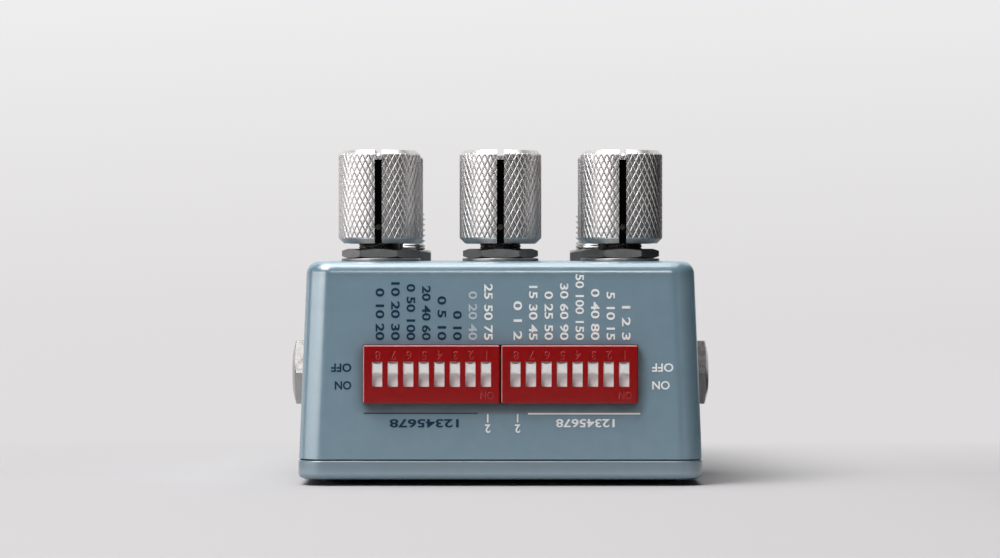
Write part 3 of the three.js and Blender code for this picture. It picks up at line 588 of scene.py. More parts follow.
# colours as the screen shows them, and sizes in millimetres
looks = {
    "blueCoat": {"colour": (128, 159, 175), "mottle": (124, 155, 171), "mottleSize": 2.5,
                 "roughness": (0.21, 0.26), "glossSize": 1.6, "grain": 0.004, "grainSize": 0.45,
                 # painted shade, darker where the light from above is blocked
                 "paintedShade": {"reach": 2.0, "share": 0.92, "towards": (0, -0.4, 0.92)},
                 "shader": {"IOR": 1.8, "Specular IOR Level": 1.0}},
    "redMoulding": {"colour": (158, 10, 13), "mottle": (150, 8, 11), "mottleSize": 1.2,
                    "roughness": (0.15, 0.2), "glossSize": 0.8, "grain": 0.0015, "grainSize": 0.2,
                    "shader": {"Specular IOR Level": 0.4}},
    "redEdge": {"colour": (232, 134, 136), "mottle": (222, 120, 122), "mottleSize": 0.8,
                "roughness": (0.2, 0.28), "glossSize": 0.5, "grain": 0.001, "grainSize": 0.15},
    "redShade": {"colour": (84, 6, 9), "mottle": (94, 8, 11), "mottleSize": 0.8,
                 "roughness": (0.3, 0.4), "glossSize": 0.5, "grain": 0.001, "grainSize": 0.15,
                 "shader": {"Specular IOR Level": 0.2}},
    "redShine": {"colour": (214, 84, 84), "mottle": (200, 70, 70), "mottleSize": 0.8,
                 "roughness": (0.2, 0.3), "glossSize": 0.5, "grain": 0.001, "grainSize": 0.15},
    "whiteMoulding": {"colour": (255, 254, 253), "mottle": (250, 249, 248), "mottleSize": 0.8,
                      "roughness": (0.45, 0.55), "glossSize": 0.6, "grain": 0.003, "grainSize": 0.15},
    "knurlAluminium": {"colour": (237, 233, 232), "mottle": (228, 225, 224), "mottleSize": 1.5,
                       # painted shade in the knurl and at the knob's foot
                       "paintedShade": {"reach": 9.0, "share": 0.92},
                       "roughness": (0.28, 0.38), "glossSize": 0.5, "grain": 0.002, "grainSize": 0.12,
                       "shader": {"Metallic": 1}},
    "darkNickel": {"colour": (160, 158, 156), "mottle": (148, 146, 144), "mottleSize": 1.5,
                   "roughness": (0.32, 0.42), "glossSize": 0.7, "grain": 0.002, "grainSize": 0.15,
                   "shader": {"Metallic": 1}},
    "blackOxide": {"colour": (120, 118, 116), "mottle": (106, 104, 102), "mottleSize": 0.8,
                   "roughness": (0.24, 0.32), "glossSize": 0.4, "grain": 0.002, "grainSize": 0.12,
                   "shader": {"Metallic": 0.85}},
    "jackNickel": {"colour": (182, 180, 178), "mottle": (170, 168, 166), "mottleSize": 2.0,
                   "roughness": (0.2, 0.27), "glossSize": 0.8, "grain": 0.002, "grainSize": 0.2,
                   "shader": {"Metallic": 1}},
    "chromePlate": {"colour": (226, 226, 228), "mottle": (220, 220, 222), "mottleSize": 3.0,
                    "roughness": (0.06, 0.11), "glossSize": 1.5, "grain": 0.0006, "grainSize": 0.6,
                    "shader": {"Metallic": 1}},
    "zincSteel": {"colour": (176, 179, 182), "mottle": (160, 164, 168), "mottleSize": 1.0,
                  "roughness": (0.30, 0.42), "glossSize": 0.5, "grain": 0.002, "grainSize": 0.15,
                  "shader": {"Metallic": 1}},
    "blackFill": {"colour": (2, 2, 2), "mottle": (4, 4, 4), "mottleSize": 0.6,
                  "roughness": (0.5, 0.65), "glossSize": 0.4, "grain": 0.003, "grainSize": 0.15,
                  "shader": {"Specular IOR Level": 0.05}},
    "blackRubber": {"colour": (22, 22, 23), "mottle": (28, 28, 29), "mottleSize": 0.8,
                    "roughness": (0.75, 0.9), "glossSize": 0.6, "grain": 0.01, "grainSize": 0.2},
    "blackMoulding": {"colour": (30, 30, 32), "mottle": (36, 36, 38), "mottleSize": 0.9,
                      "roughness": (0.45, 0.58), "glossSize": 0.5, "grain": 0.005, "grainSize": 0.2},
    "clearLens": {"colour": (238, 240, 240), "mottle": (232, 235, 236), "mottleSize": 1.5,
                  "roughness": (0.03, 0.06), "glossSize": 1.0, "grain": 0.0005, "grainSize": 0.5,
                  "shader": {"Transmission Weight": 0.9, "IOR": 1.5}},
    "boardLaminate": {"colour": (28, 78, 54), "mottle": (34, 90, 62), "mottleSize": 0.7,
                      "roughness": (0.35, 0.5), "glossSize": 0.5, "grain": 0.01, "grainSize": 0.3},
    "navyInk": {"colour": (8, 48, 74), "mottle": (12, 54, 80), "mottleSize": 0.5,
                "roughness": (0.3, 0.4), "glossSize": 0.4, "grain": 0.002, "grainSize": 0.12,
                "shader": {"Specular IOR Level": 0.2}},
    "whiteInk": {"colour": (255, 255, 255), "mottle": (250, 251, 252), "mottleSize": 0.5,
                 "roughness": (0.45, 0.55), "glossSize": 0.4, "grain": 0.003, "grainSize": 0.12},
    "greyInk": {"colour": (190, 204, 214), "mottle": (184, 198, 208), "mottleSize": 0.5,
                "roughness": (0.45, 0.55), "glossSize": 0.4, "grain": 0.003, "grainSize": 0.12},
}
finish = {name: finishOf(name, look) for name, look in looks.items()}
print("finishes made:", len(finish))

# enclosure

shell = {"draft": 2.25, "corner": 4.2, "fillet": 2.05, "wall": 2.0, "panel": 2.2, "innerFillet": 1.2,
         "cornerSteps": 16, "filletSteps": 12, "innerSteps": 5, "post": 4.4, "pilot": 1.75,
         "pilotDepth": 13.0, "holeGap": 0.25, "windowGap": 0.06, "boardThick": 1.6, "lowEdge": 0.1,
         "seamLift": 0.07}
shellLow, shellHigh = boxOf("enclosure_shell")
shellMiddle = (shellLow + shellHigh) / 2
panelZ = shellHigh.z
underPanelZ = panelZ - shell["panel"]
halfX = (shellHigh.x - shellLow.x) / 2
halfY = (shellHigh.y - shellLow.y) / 2
slope = math.tan(math.radians(shell["draft"]))

knobNodes = [f"knob_{row}_{column}" for row in rows for column in columns]
potNodes = [f"potentiometer_{row}_{column}" for row in rows for column in columns]
toggleNodes = [f"toggle_switch_{column}" for column in columns]
leverNodes = [f"toggle_lever_{column}" for column in columns]
footNodes = [f"foot_switch_{side}" for side in sides]
buttonNodes = [f"foot_button_{side}" for side in sides]
lampNodes = [f"lamp_{side}" for side in sides]
screwNodes = [f"lid_screw_{row}_{side}" for row in rows for side in sides]
rubberNodes = [f"rubber_foot_{row}_{side}" for row in rows for side in sides]


def insetAt(z):
    # how far the drafted walls have come in at a height
    return (z - shellLow.z) * slope


def wallAt(z):
    # where the rear wall's outer face is at a height
    return shellLow.y + insetAt(z)


def makeShell():
    steps = shell["cornerSteps"]
    centre = shift(shellMiddle.x, shellMiddle.y)
    fillet = shell["fillet"]
    shoulder = panelZ - fillet
    edge, lowZ = shell["lowEdge"], shellLow.z + shell["seamLift"]
    inset = insetAt(lowZ + edge)
    rings = [roundedRing(halfX - edge, halfY - edge, lowZ, shell["corner"] - edge, steps),
             roundedRing(halfX - inset, halfY - inset, lowZ + edge, shell["corner"], steps)]
    for across, up in arc((0, 0), fillet, 0, 90, shell["filletSteps"]):
        inset = insetAt(shoulder) + fillet - across
        radius = shell["corner"] - fillet + across
        rings.append(roundedRing(halfX - inset, halfY - inset, shoulder + up, radius, steps))
    piece = newPiece("enclosure", moved(lofted(rings), centre), finish["blueCoat"])
    carve(piece, moved(shellHollow(0), centre))
    post = rod(shell["post"], shellLow.z, panelZ)
    posts = newPiece("posts", copies(post, movesOf(screwNodes)), finish["blueCoat"])
    carve(posts, moved(shellHollow(shell["wall"] / 2), centre), operation="INTERSECT")
    unite(piece, posts)
    for shape in shellCuts():
        carve(piece, shape)
    settle(piece, housing, "blue_coat", "enclosure_shell", edge=35, weighted=True)


def shellHollow(grow):
    # the room between the walls, or a larger one that reaches into them
    def level(z, extra):
        inset = insetAt(z) + shell["wall"] + extra - grow
        radius = shell["corner"] - shell["wall"] - extra + grow
        return roundedRing(halfX - inset, halfY - inset, z, radius, shell["cornerSteps"])

    shoulder = underPanelZ - shell["innerFillet"] + grow
    rings = [level(shellLow.z - over, 0)]
    for across, up in arc((0, 0), shell["innerFillet"], 0, 90, shell["innerSteps"]):
        rings.append(level(shoulder + up, shell["innerFillet"] - across))
    return lofted(rings)


def panelHoles(radius, nodes):
    hole = rod(radius + shell["holeGap"], underPanelZ - over, panelZ + over)
    return copies(hole, movesOf(nodes))


def sideHole(radius, side, node):
    return moved(rod(radius + shell["holeGap"], halfX / 2, halfX + over), laid(side, node))


def shellCuts():
    # pilot holes, the controls' holes, the window of the switch banks and room for their board
    gap, thin = shell["holeGap"], shell["windowGap"]
    pilot = rod(shell["pilot"], shellLow.z - over, shellLow.z + shell["pilotDepth"], around=32)
    bankLow, bankHigh = boxOf("switch_bank_left")[0], boxOf("switch_bank_right")[1]
    boardLow, boardHigh = boxOf("switch_board")
    window = block(bankLow.x - thin, bankHigh.x + thin, bankLow.y - over, bankHigh.y + gap,
                   bankLow.z - thin, bankHigh.z + thin)
    room = block(boardLow.x - gap, boardHigh.x + gap, bankHigh.y, bankHigh.y + shell["boardThick"] + gap,
                 boardLow.z - gap, boardHigh.z + gap)
    return [copies(pilot, movesOf(screwNodes)), panelHoles(pot["bush"], potNodes),
            panelHoles(toggle["bush"], toggleNodes), panelHoles(foot["bush"], footNodes),
            panelHoles(lamp["radius"], lampNodes), sideHole(jack["bush"], -1, "input_jack"),
            sideHole(jack["bush"], 1, "output_jack"), sideHole(inlet["snout"], 1, "power_inlet"),
            window, room]


lid = {"corner": 4.3, "fillet": 1.0, "filletSteps": 8, "topEdge": 0.25, "pocket": 1.1, "lipInset": 2.35,
       "lipThick": 1.5, "lipEdge": 0.3, "thick": 3.1, "boss": 4.4, "seatGap": 0.15}


def makeLid():
    low, high = boxOf("base_plate")
    middle = (low + high) / 2
    centre = shift(middle.x, middle.y)
    x, y = (high.x - low.x) / 2, (high.y - low.y) / 2
    topZ = low.z + lid["thick"]

    def level(z, inset):
        return roundedRing(x - inset, y - inset, z, lid["corner"] - inset, shell["cornerSteps"])

    rings = []
    for across, up in arc((0, 0), lid["fillet"], -90, 0, lid["filletSteps"]):
        rings.append(level(low.z + lid["fillet"] + up, lid["fillet"] - across))
    for across, up in arc((0, 0), lid["topEdge"], 0, 90, steps=4):
        rings.append(level(topZ - lid["topEdge"] + up, lid["topEdge"] - across))
    piece = newPiece("base_cover", moved(lofted(rings), centre), finish["blueCoat"])
    # a lip that locates the lid in the shell, broken round the screw posts
    inset, edge = lid["lipInset"], lid["lipEdge"]
    lipRings = [level(topZ - lid["pocket"], inset), level(high.z - edge, inset), level(high.z, inset + edge)]
    lip = newPiece("lip", moved(lofted(lipRings), centre), finish["blueCoat"])
    carve(lip, copies(rod(lid["boss"] + shell["holeGap"], topZ, high.z + over), movesOf(screwNodes)))
    unite(piece, lip)
    inset += lid["lipThick"]
    pocket = lofted([level(topZ - lid["pocket"], inset), level(high.z + over, inset)])
    carve(piece, moved(pocket, centre))
    boss = rod(lid["boss"], low.z + lid["fillet"], topZ)
    carve(piece, copies(boss, movesOf(screwNodes)), operation="UNION")
    gap = lid["seatGap"]
    throat = screw["radius"] + gap
    seat = turned([(0, low.z - gap), (screw["head"] + gap, low.z - gap), (throat, low.z + screw["throat"]),
                   (throat, topZ + over), (0, topZ + over)], around=48)
    carve(piece, copies(seat, movesOf(screwNodes)))
    settle(piece, housing, "blue_coat", "base_plate", edge=35, weighted=True)


screw = {"head": 3.3, "headRound": 0.25, "throat": 1.9, "neck": 0.3, "radius": 1.6, "thread": 0.7,
         "depth": 0.35, "tip": 0.6, "crossWidth": 1.0, "crossSpan": 3.6, "crossDepth": 1.1}


def makeScrews():
    low, high = boxOf(screwNodes[0])
    tipZ = high.z - screw["tip"]
    throatZ = low.z + screw["throat"]
    radius, edge = screw["radius"], screw["headRound"]
    rim = arc((screw["head"] - edge, low.z + edge), edge, -90, 0, steps=4)
    profile = [(0, low.z), *rim, (radius, throatZ)]
    z = throatZ + screw["neck"]
    while z + screw["thread"] < tipZ:
        profile += [(radius, z), (radius - screw["depth"], z + screw["thread"] / 2)]
        z += screw["thread"]
    profile += [(radius, tipZ), (radius - screw["tip"], high.z), (0, high.z)]
    original = newPiece("screw", turned(profile, around=32), finish["zincSteel"])
    span, width, top = screw["crossSpan"] / 2, screw["crossWidth"] / 2, low.z + screw["crossDepth"]
    carve(original, block(-span, span, -width, width, low.z - over, top))
    carve(original, block(-width, width, -span, span, low.z - over, top))
    setOut("lid_screws", original, screwNodes, "zinc_steel", *screwNodes)


rubber = {"radius": 5.0, "round": 0.3}


def makeFeet():
    low, high = boxOf(rubberNodes[0])
    radius, edge = rubber["radius"], rubber["round"]
    side = arc((radius - edge, low.z + edge), edge, -90, 0, steps=5)
    profile = [(0, low.z), *side, (radius, high.z), (0, high.z)]
    original = newPiece("foot", turned(profile, around=48), finish["blackRubber"])
    setOut("rubber_feet", original, rubberNodes, "black_rubber", *rubberNodes)


# switch banks and their sliders

bank = {"edge": 0.3, "slotWidth": 1.67, "slotHeight": 4.1, "skin": 0.55, "channelWidth": 2.1,
        "channelDepth": 1.15, "channelReach": 4.15, "count": 8, "numeralHeight": 1.45, "numeralRise": 3.22,
        "onWidth": 2.15, "onHeight": 1.3, "onFromSide": 2.2, "onDrop": 3.35}
# how far a face of the edge has to look forwards, up or left to take the painted highlight, a paler red
highlightFacing = {"front": 0.25, "top": 0.25, "side": 0.45}
# the moulded marks are flat layers: a painted shadow rim and a painted highlight rim, set to either side,
# under a core of the same red
mouldedLayers = [
    {"name": "shade", "look": "redShade", "aside": -0.06, "bold": 0.02, "rise": 0.008},
    {"name": "shine", "look": "redShine", "aside": 0.06, "bold": 0.02, "rise": 0.01},
    {"name": "core", "look": "redMoulding", "aside": 0.0, "bold": -0.005, "rise": 0.012},
]


def slidersOf(side):
    return [f"slider_{side}_{number}" for number in range(1, bank["count"] + 1)]


def faceDown(x, z, y):
    # characters that read upside down on a face towards -Y
    return Matrix(((-1, 0, 0, x), (0, 0, -1, y), (0, -1, 0, z), (0, 0, 0, 1)))


def faceSideways(x, z, y):
    # characters that read from top to bottom on a face towards -Y
    return Matrix(((0, 1, 0, x), (0, 0, -1, y), (-1, 0, 0, z), (0, 0, 0, 1)))


def makeBank(side):
    node = f"switch_bank_{side}"
    low, high = boxOf(node)
    middle = (low + high) / 2
    whole = block(low.x, high.x, low.y, high.y, low.z, high.z)
    piece = newPiece(f"switch_housing_{side}", whole, finish["redMoulding"])
    bevel(piece, bank["edge"], segments=4)
    # bevel faces that look forwards and up or left take a paler red as a painted highlight, where light from
    # above and the left falls
    piece.data.materials.append(finish["redEdge"])
    for face in piece.data.polygons:
        way = face.normal
        highlighted = way.y < -highlightFacing["front"] and (way.z > highlightFacing["top"] or way.x < -highlightFacing["side"])
        face.material_index = 1 if highlighted else 0
    skinY, depth = low.y + bank["skin"], bank["channelDepth"]
    slotHalf, slotTall = bank["slotWidth"] / 2, bank["slotHeight"] / 2
    channelHalf, channelTall = bank["channelWidth"] / 2, bank["channelReach"]
    for slider in slidersOf(side):
        x = middleOf(slider).x
        carve(piece, block(x - slotHalf, x + slotHalf, low.y - over, skinY + depth / 2,
                           middle.z - slotTall, middle.z + slotTall))
        carve(piece, block(x - channelHalf, x + channelHalf, skinY, skinY + depth,
                           middle.z - channelTall, middle.z + channelTall))
    settle(piece, housing, "red_moulding", node, edge=35, weighted=True)


def markBank(side):
    low, high = boxOf(f"switch_bank_{side}")
    middle = (low + high) / 2
    # each layer is a flat copy of the marks; the darker and paler layers are painted shadow and painted
    # highlight, which give the flat marks a moulded look
    for layer in mouldedLayers:
        aside, bold, thick = layer["aside"], layer["bold"], 2 * layer["rise"]
        raised = bmesh.new()
        for number, slider in enumerate(slidersOf(side), 1):
            mark = letters(str(number), bank["numeralHeight"], bold, thick)
            x, z = middleOf(slider).x + aside, middle.z + bank["numeralRise"] - aside
            join(raised, moved(mark, faceDown(x, z, low.y)))
        mark = letters("ON", bank["onHeight"], bold, thick, bank["onWidth"])
        x, z = high.x - bank["onFromSide"] + aside, middle.z - bank["onDrop"] - aside
        join(raised, moved(mark, faceDown(x, z, low.y)))
        piece = newPiece(f"moulded_{layer['name']}_{side}", raised, finish[layer["look"]])
        settle(piece, housing, None, edge=35)


slide = {"halfWidth": 0.775, "runnerHalf": 0.95, "crown": 0.34, "arch": 0.34, "scoop": 0.22, "edge": 0.07,
         "nubHeight": 1.9, "nubDrop": 0.1, "nubRoot": 0.2, "frontGap": 0.1}


def bowOf(half, rise):
    # the radius and the half angle of an arc over a chord
    angle = math.degrees(2 * math.atan(rise / half))
    return half / math.sin(math.radians(angle)), angle


def makeSliders():
    # a runner with a dished front, and a nub that is hollow above and arched below
    low, high = boxOf("slider_left_1")
    bankLow = boxOf("switch_bank_left")[0]
    front = bankLow.y + bank["skin"] + slide["frontGap"]
    top = middleOf("switch_bank_left").z + bank["slotHeight"] / 2 - slide["nubDrop"]
    bottom = top - slide["nubHeight"]
    half, runnerHalf = slide["halfWidth"], slide["runnerHalf"]
    radius, angle = bowOf(half, slide["crown"])
    outline = arc((0, top - slide["crown"] + radius), radius, -90 + angle, -90 - angle, steps=10)
    radius, angle = bowOf(half, slide["arch"])
    outline += arc((0, bottom + slide["arch"] - radius), radius, 90 + angle, 90 - angle, steps=10)
    nub = newPiece("nub", extruded(outline, low.y, front + slide["nubRoot"]), finish["whiteMoulding"])
    bevel(nub, slide["edge"], segments=2)
    runner = newPiece("runner", block(-runnerHalf, runnerHalf, front, high.y, low.z, high.z),
                      finish["whiteMoulding"])
    deep, span = slide["scoop"], bottom - low.z
    radius = (span ** 2 / 4 + deep ** 2) / (2 * deep)
    scoop = rod(radius, -half, half, around=128)
    carve(runner, moved(scoop, shift(0, front + deep - radius, (bottom + low.z) / 2) @ turn(90, "Y")))
    unite(runner, nub)
    for side in sides:
        for number, node in enumerate(slidersOf(side), 1):
            move = shift(middleOf(node).x)
            dress(node, f"switch_lever_{side}_{number}", runner, "white_moulding", move, edge=35)
    drop(runner)


# potentiometers and knobs

pot = {"bush": 3.45, "bushRise": 4.6, "pitch": 0.46, "threadDepth": 0.2, "crest": 0.8, "chamfer": 0.35,
       "around": 96, "turnSteps": 6, "well": 3.05, "wellFloor": 1.0, "washer": 6.35, "washerThick": 0.5,
       "washerEdge": 0.12, "nutFlats": 10.9, "nutHeight": 1.6, "nutFace": 5.3, "nutLow": 0.34,
       "nutHigh": 0.34, "nutDome": 0.0, "nutTurn": 90, "width": 9.6, "length": 11.2, "can": 5.0,
       "canEdge": 0.5, "wafer": 1.8, "legWidth": 2.2, "legThick": 0.8}


def threadedBush(part, material):
    # a control's bushing, from inside the panel up to its rise above it
    turns = round((part["bushRise"] + shell["panel"]) / part["pitch"])
    bottom = panelZ + part["bushRise"] - turns * part["pitch"]
    return runTree("bush", trees["thread"], {
        "Radius": part["bush"], "Bottom": bottom, "Pitch": part["pitch"], "Turns": turns,
        "Around": part["around"], "Steps": part["turnSteps"], "Depth": part["threadDepth"],
        "Crest Share": part["crest"], "Chamfer": part["chamfer"], "Material": finish[material]})


def hexNut(name, part, bore, height, material):
    return runTree(name, trees["nut"], {
        "Flats": part["nutFlats"], "Height": height, "Bore": bore, "Face": part["nutFace"],
        "Low Slope": part["nutLow"], "High Slope": part["nutHigh"], "Dome": part["nutDome"], "Around": 144,
        "Turn": math.radians(part["nutTurn"]), "Material": finish[material]})


def panelNuts(name, part, nodes, slot, material, z):
    # the nuts that hold controls to the panel, each on its bushing's thread
    nut = hexNut("nut", part, part["bush"] - part["threadDepth"], part["nutHeight"], material)
    setOut(name, nut, nodes, slot, z=z)


def makePotentiometers():
    canZ = underPanelZ - pot["can"]
    boardZ = boxOf(potNodes[0])[0].z
    washerTop = panelZ + pot["washerThick"]
    edge = pot["washerEdge"]
    rim = pot["washer"] - edge
    profile = [(pot["bush"], panelZ), (rim, panelZ), *arc((rim, panelZ + edge), edge, -90, 0, steps=3),
               *arc((rim, washerTop - edge), edge, 0, 90, steps=3), (pot["bush"], washerTop)]
    washer = newPiece("washer", turned(profile, around=96), finish["darkNickel"])
    setOut("knob_washers", washer, potNodes, "dark_nickel", *potNodes)
    panelNuts("knob_nuts", pot, potNodes, "dark_nickel", "darkNickel", washerTop)
    bush = threadedBush(pot, "blackOxide")
    carve(bush, rod(pot["well"], canZ + pot["wellFloor"], panelZ + pot["bushRise"] + over))
    setOut("knob_bushings", bush, potNodes, "dark_nickel")
    # the can, and the wafer under it with a leg down to the board on each side
    x, y = pot["width"] / 2, pot["length"] / 2
    can = newPiece("can", block(-x, x, -y, y, canZ, underPanelZ), finish["zincSteel"])
    bevel(can, pot["canEdge"])
    setOut("potentiometer_cans", can, potNodes, "dark_nickel")
    thick, half = pot["legThick"], pot["legWidth"] / 2
    base = x + thick / 2
    wafer = newPiece("wafer", block(-base, base, -y + half, y - half, canZ - pot["wafer"], canZ),
                     finish["blackMoulding"])
    for side in (-1, 1):
        near, far = sorted((side * x, side * (x + thick)))
        carve(wafer, block(near, far, -half, half, boardZ, canZ + thick), operation="UNION")
    setOut("potentiometer_wafers", wafer, potNodes, "dark_nickel")


knob = {"radius": 6.85, "height": 15.55, "topChamfer": 0.75, "bottomChamfer": 0.9, "knurlDepth": 0.12,
        "diamonds": 40, "steps": 8, "rows": 63, "flatShare": 0.3, "pointerWidth": 1.2, "pointerDepth": 1.35,
        "grooveDepth": 1.0, "bridge": 0.65, "grub": 0.5, "grubDepth": 0.6, "grubRise": 2.7, "skirt": 3.75,
        "skirtDepth": 2.6, "shaft": 2.8, "shaftGrip": 1.2}


def makeKnobs():
    low, high = boxOf(knobNodes[0])
    z0 = high.z - knob["height"]
    cap = runTree("cap", trees["knurl"], {
        "Radius": knob["radius"], "Height": knob["height"], "Diamonds": knob["diamonds"],
        "Steps": knob["steps"], "Rows": knob["rows"], "Depth": knob["knurlDepth"],
        "Flat Share": knob["flatShare"], "Top Chamfer": knob["topChamfer"],
        "Bottom Chamfer": knob["bottomChamfer"], "Material": finish["knurlAluminium"]})
    cap.data.transform(shift(0, 0, z0))
    half, reach = knob["pointerWidth"] / 2, knob["radius"] + over
    slotFloor = knob["radius"] - knob["pointerDepth"]
    grooveZ = high.z - knob["grooveDepth"]
    skirtZ = z0 + knob["skirtDepth"]
    carve(cap, rod(knob["skirt"], z0 - over, skirtZ))
    # the pointer slot, filled black, and the groove over the top
    slot = block(-half, half, -reach, -slotFloor, z0 - over, grooveZ - knob["bridge"])
    carve(cap, slot, finish["blackFill"])
    carve(cap, block(-half, half, -reach, reach, grooveZ, high.z + over))
    grub = rod(knob["grub"], -over, knob["grubDepth"], around=32)
    lay = shift(0, -slotFloor, z0 + knob["grubRise"]) @ turn(-90, "X")
    carve(cap, moved(grub, lay), finish["blackOxide"])
    carve(cap, rod(knob["shaft"], low.z, skirtZ + knob["shaftGrip"]), operation="UNION")
    for node in knobNodes:
        dress(node, f"control_{node}", cap, "bright_aluminium", moveOf(node), edge=12)
    drop(cap)


# toggle switches

toggle = {"bush": 3.12, "bushRise": 3.15, "pitch": 0.6, "threadDepth": 0.25, "crest": 0.8, "chamfer": 0.5,
          "around": 72, "turnSteps": 6, "throat": 2.3, "ballGap": 0.25, "nutFlats": 8.2, "nutHeight": 1.85,
          "nutFace": 3.94, "nutLow": 0.0, "nutHigh": 0.55, "nutDome": 0.0, "nutTurn": 0, "keyWidth": 1.1,
          "keyDepth": 0.45, "bodyLength": 12.7, "bodyWidth": 6.9, "bodyHeight": 8.0, "bodyEdge": 0.4}
bat = {"pivotDrop": 2.3, "ball": 1.8, "ballEnd": 54, "neck": 1.05, "tip": 1.5, "tipStart": -8}


def makeToggles():
    bushTop = panelZ + toggle["bushRise"]
    bush = threadedBush(toggle, "jackNickel")
    floor = bushTop - bat["pivotDrop"] - bat["ball"] - toggle["ballGap"]
    carve(bush, rod(toggle["throat"], floor, bushTop + over))
    # a keyway down one side of the thread
    keyIn, half = toggle["bush"] - toggle["keyDepth"], toggle["keyWidth"] / 2
    keyZ = panelZ + toggle["nutHeight"]
    carve(bush, block(keyIn, toggle["bush"] + over, -half, half, keyZ, bushTop + over))
    setOut("toggle_bushings", bush, toggleNodes, "dark_nickel", *toggleNodes)
    panelNuts("toggle_nuts", toggle, toggleNodes, "dark_nickel", "darkNickel", panelZ)
    x, y = toggle["bodyLength"] / 2, toggle["bodyWidth"] / 2
    boardZ, bodyZ = boxOf(toggleNodes[0])[0].z, underPanelZ - toggle["bodyHeight"]
    body = newPiece("body", block(-x, x, -y, y, bodyZ, underPanelZ), finish["blackMoulding"])
    bevel(body, toggle["bodyEdge"])
    carve(body, block(-x / 2, x / 2, -y / 2, y / 2, boardZ, bodyZ), operation="UNION")
    setOut("toggle_bodies", body, toggleNodes, "dark_nickel")


def makeLevers():
    pivotZ = panelZ + toggle["bushRise"] - bat["pivotDrop"]
    tipZ = boxOf(leverNodes[0])[1].z
    ball = arc((0, pivotZ), bat["ball"], -90, bat["ballEnd"], steps=14)
    tip = arc((0, tipZ - bat["tip"]), bat["tip"], bat["tipStart"], 90, steps=12)
    profile = [*ball, (bat["neck"], pivotZ + bat["ball"]), *tip]
    original = newPiece("lever", turned(profile, around=48), finish["chromePlate"])
    for node in leverNodes:
        dress(node, f"bat_{node}", original, "chrome", moveOf(node))
    drop(original)


# foot switches

foot = {"bush": 6.2, "bushRise": 9.2, "pitch": 1.0, "threadDepth": 0.62, "crest": 1.0, "chamfer": 0.75,
        "around": 96, "turnSteps": 8, "nutFlats": 14.0, "nutHeight": 2.0, "nutFace": 6.72, "nutLow": 0.0,
        "nutHigh": 0.5, "nutDome": 0.0, "nutTurn": 0, "width": 16.5, "length": 17.5, "height": 13.0,
        "edge": 0.8, "well": 3.65, "stroke": 2.25, "lugWidth": 2.6, "lugThick": 0.8, "lugDrop": 3.6,
        "lugRoot": 0.5, "lugSpread": 4.7}
button = {"radius": 5.5, "edge": 0.9, "edgeEnd": 78, "height": 4.75, "crown": 0.04, "crownShare": 0.55,
          "stem": 3.4, "stemDepth": 6.0}


def makeFootSwitches():
    bushTop = panelZ + foot["bushRise"]
    bush = threadedBush(foot, "jackNickel")
    carve(bush, rod(foot["well"], bushTop - button["stemDepth"] - foot["stroke"], bushTop + over))
    setOut("foot_switch_bushings", bush, footNodes, "jack_nickel", *footNodes)
    panelNuts("foot_switch_nuts", foot, footNodes, "jack_nickel", "jackNickel", panelZ)
    x, y, bodyZ = foot["width"] / 2, foot["length"] / 2, underPanelZ - foot["height"]
    body = newPiece("body", block(-x, x, -y, y, bodyZ, underPanelZ), finish["blackMoulding"])
    bevel(body, foot["edge"])
    setOut("foot_switch_bodies", body, footNodes, "jack_nickel")
    x, y = foot["lugWidth"] / 2, foot["lugThick"] / 2
    lug = block(-x, x, -y, y, bodyZ - foot["lugDrop"], bodyZ + foot["lugRoot"])
    lugs = copies(lug, [shift(0, side * foot["lugSpread"]) for side in (-1, 1)])
    setOut("foot_switch_lugs", newPiece("lug", lugs, finish["zincSteel"]), footNodes, "jack_nickel")


def makeButtons():
    stemZ = panelZ + foot["bushRise"] - button["stemDepth"]
    topZ = boxOf(buttonNodes[0])[1].z
    capZ = topZ - button["height"]
    radius, edge = button["radius"], button["edge"]
    under = arc((radius - edge / 2, capZ + edge / 2), edge / 2, -90, 0, steps=6)
    above = arc((radius - edge, topZ - edge), edge, 0, button["edgeEnd"], steps=8)
    profile = [(0, stemZ), (button["stem"], stemZ), (button["stem"], capZ), *under, *above,
               (radius * button["crownShare"], topZ - button["crown"]), (0, topZ)]
    original = newPiece("button", turned(profile, around=96), finish["chromePlate"])
    for node in buttonNodes:
        dress(node, f"plunger_{node}", original, "chrome", moveOf(node), edge=40)
    drop(original)


# indicator lamps

lamp = {"radius": 2.5, "rise": 1.9, "flange": 2.9, "flangeHeight": 1.0, "flangeDrop": 0.4, "leg": 0.6,
        "legSpread": 1.27}


def makeLamps():
    lowZ = underPanelZ - lamp["flangeDrop"] - lamp["flangeHeight"]
    highZ = lowZ + lamp["flangeHeight"]
    dome = arc((0, panelZ + lamp["rise"] - lamp["radius"]), lamp["radius"], 0, 90, steps=16)
    profile = [(0, lowZ), (lamp["flange"], lowZ), (lamp["flange"], highZ), (lamp["radius"], highZ), *dome]
    lens = newPiece("lens", turned(profile), finish["clearLens"])
    setOut("lamp_lenses", lens, lampNodes, "clear_lens", *lampNodes)
    boardZ, half = boxOf(lampNodes[0])[0].z, lamp["leg"] / 2
    leg = block(-half, half, -half, half, boardZ, lowZ)
    legs = copies(leg, [shift(side * lamp["legSpread"]) for side in (-1, 1)])
    setOut("lamp_legs", newPiece("legs", legs, finish["zincSteel"]), lampNodes, "clear_lens")


# jacks and power inlet: built upright with the mouth at +Z, then laid towards a side wall

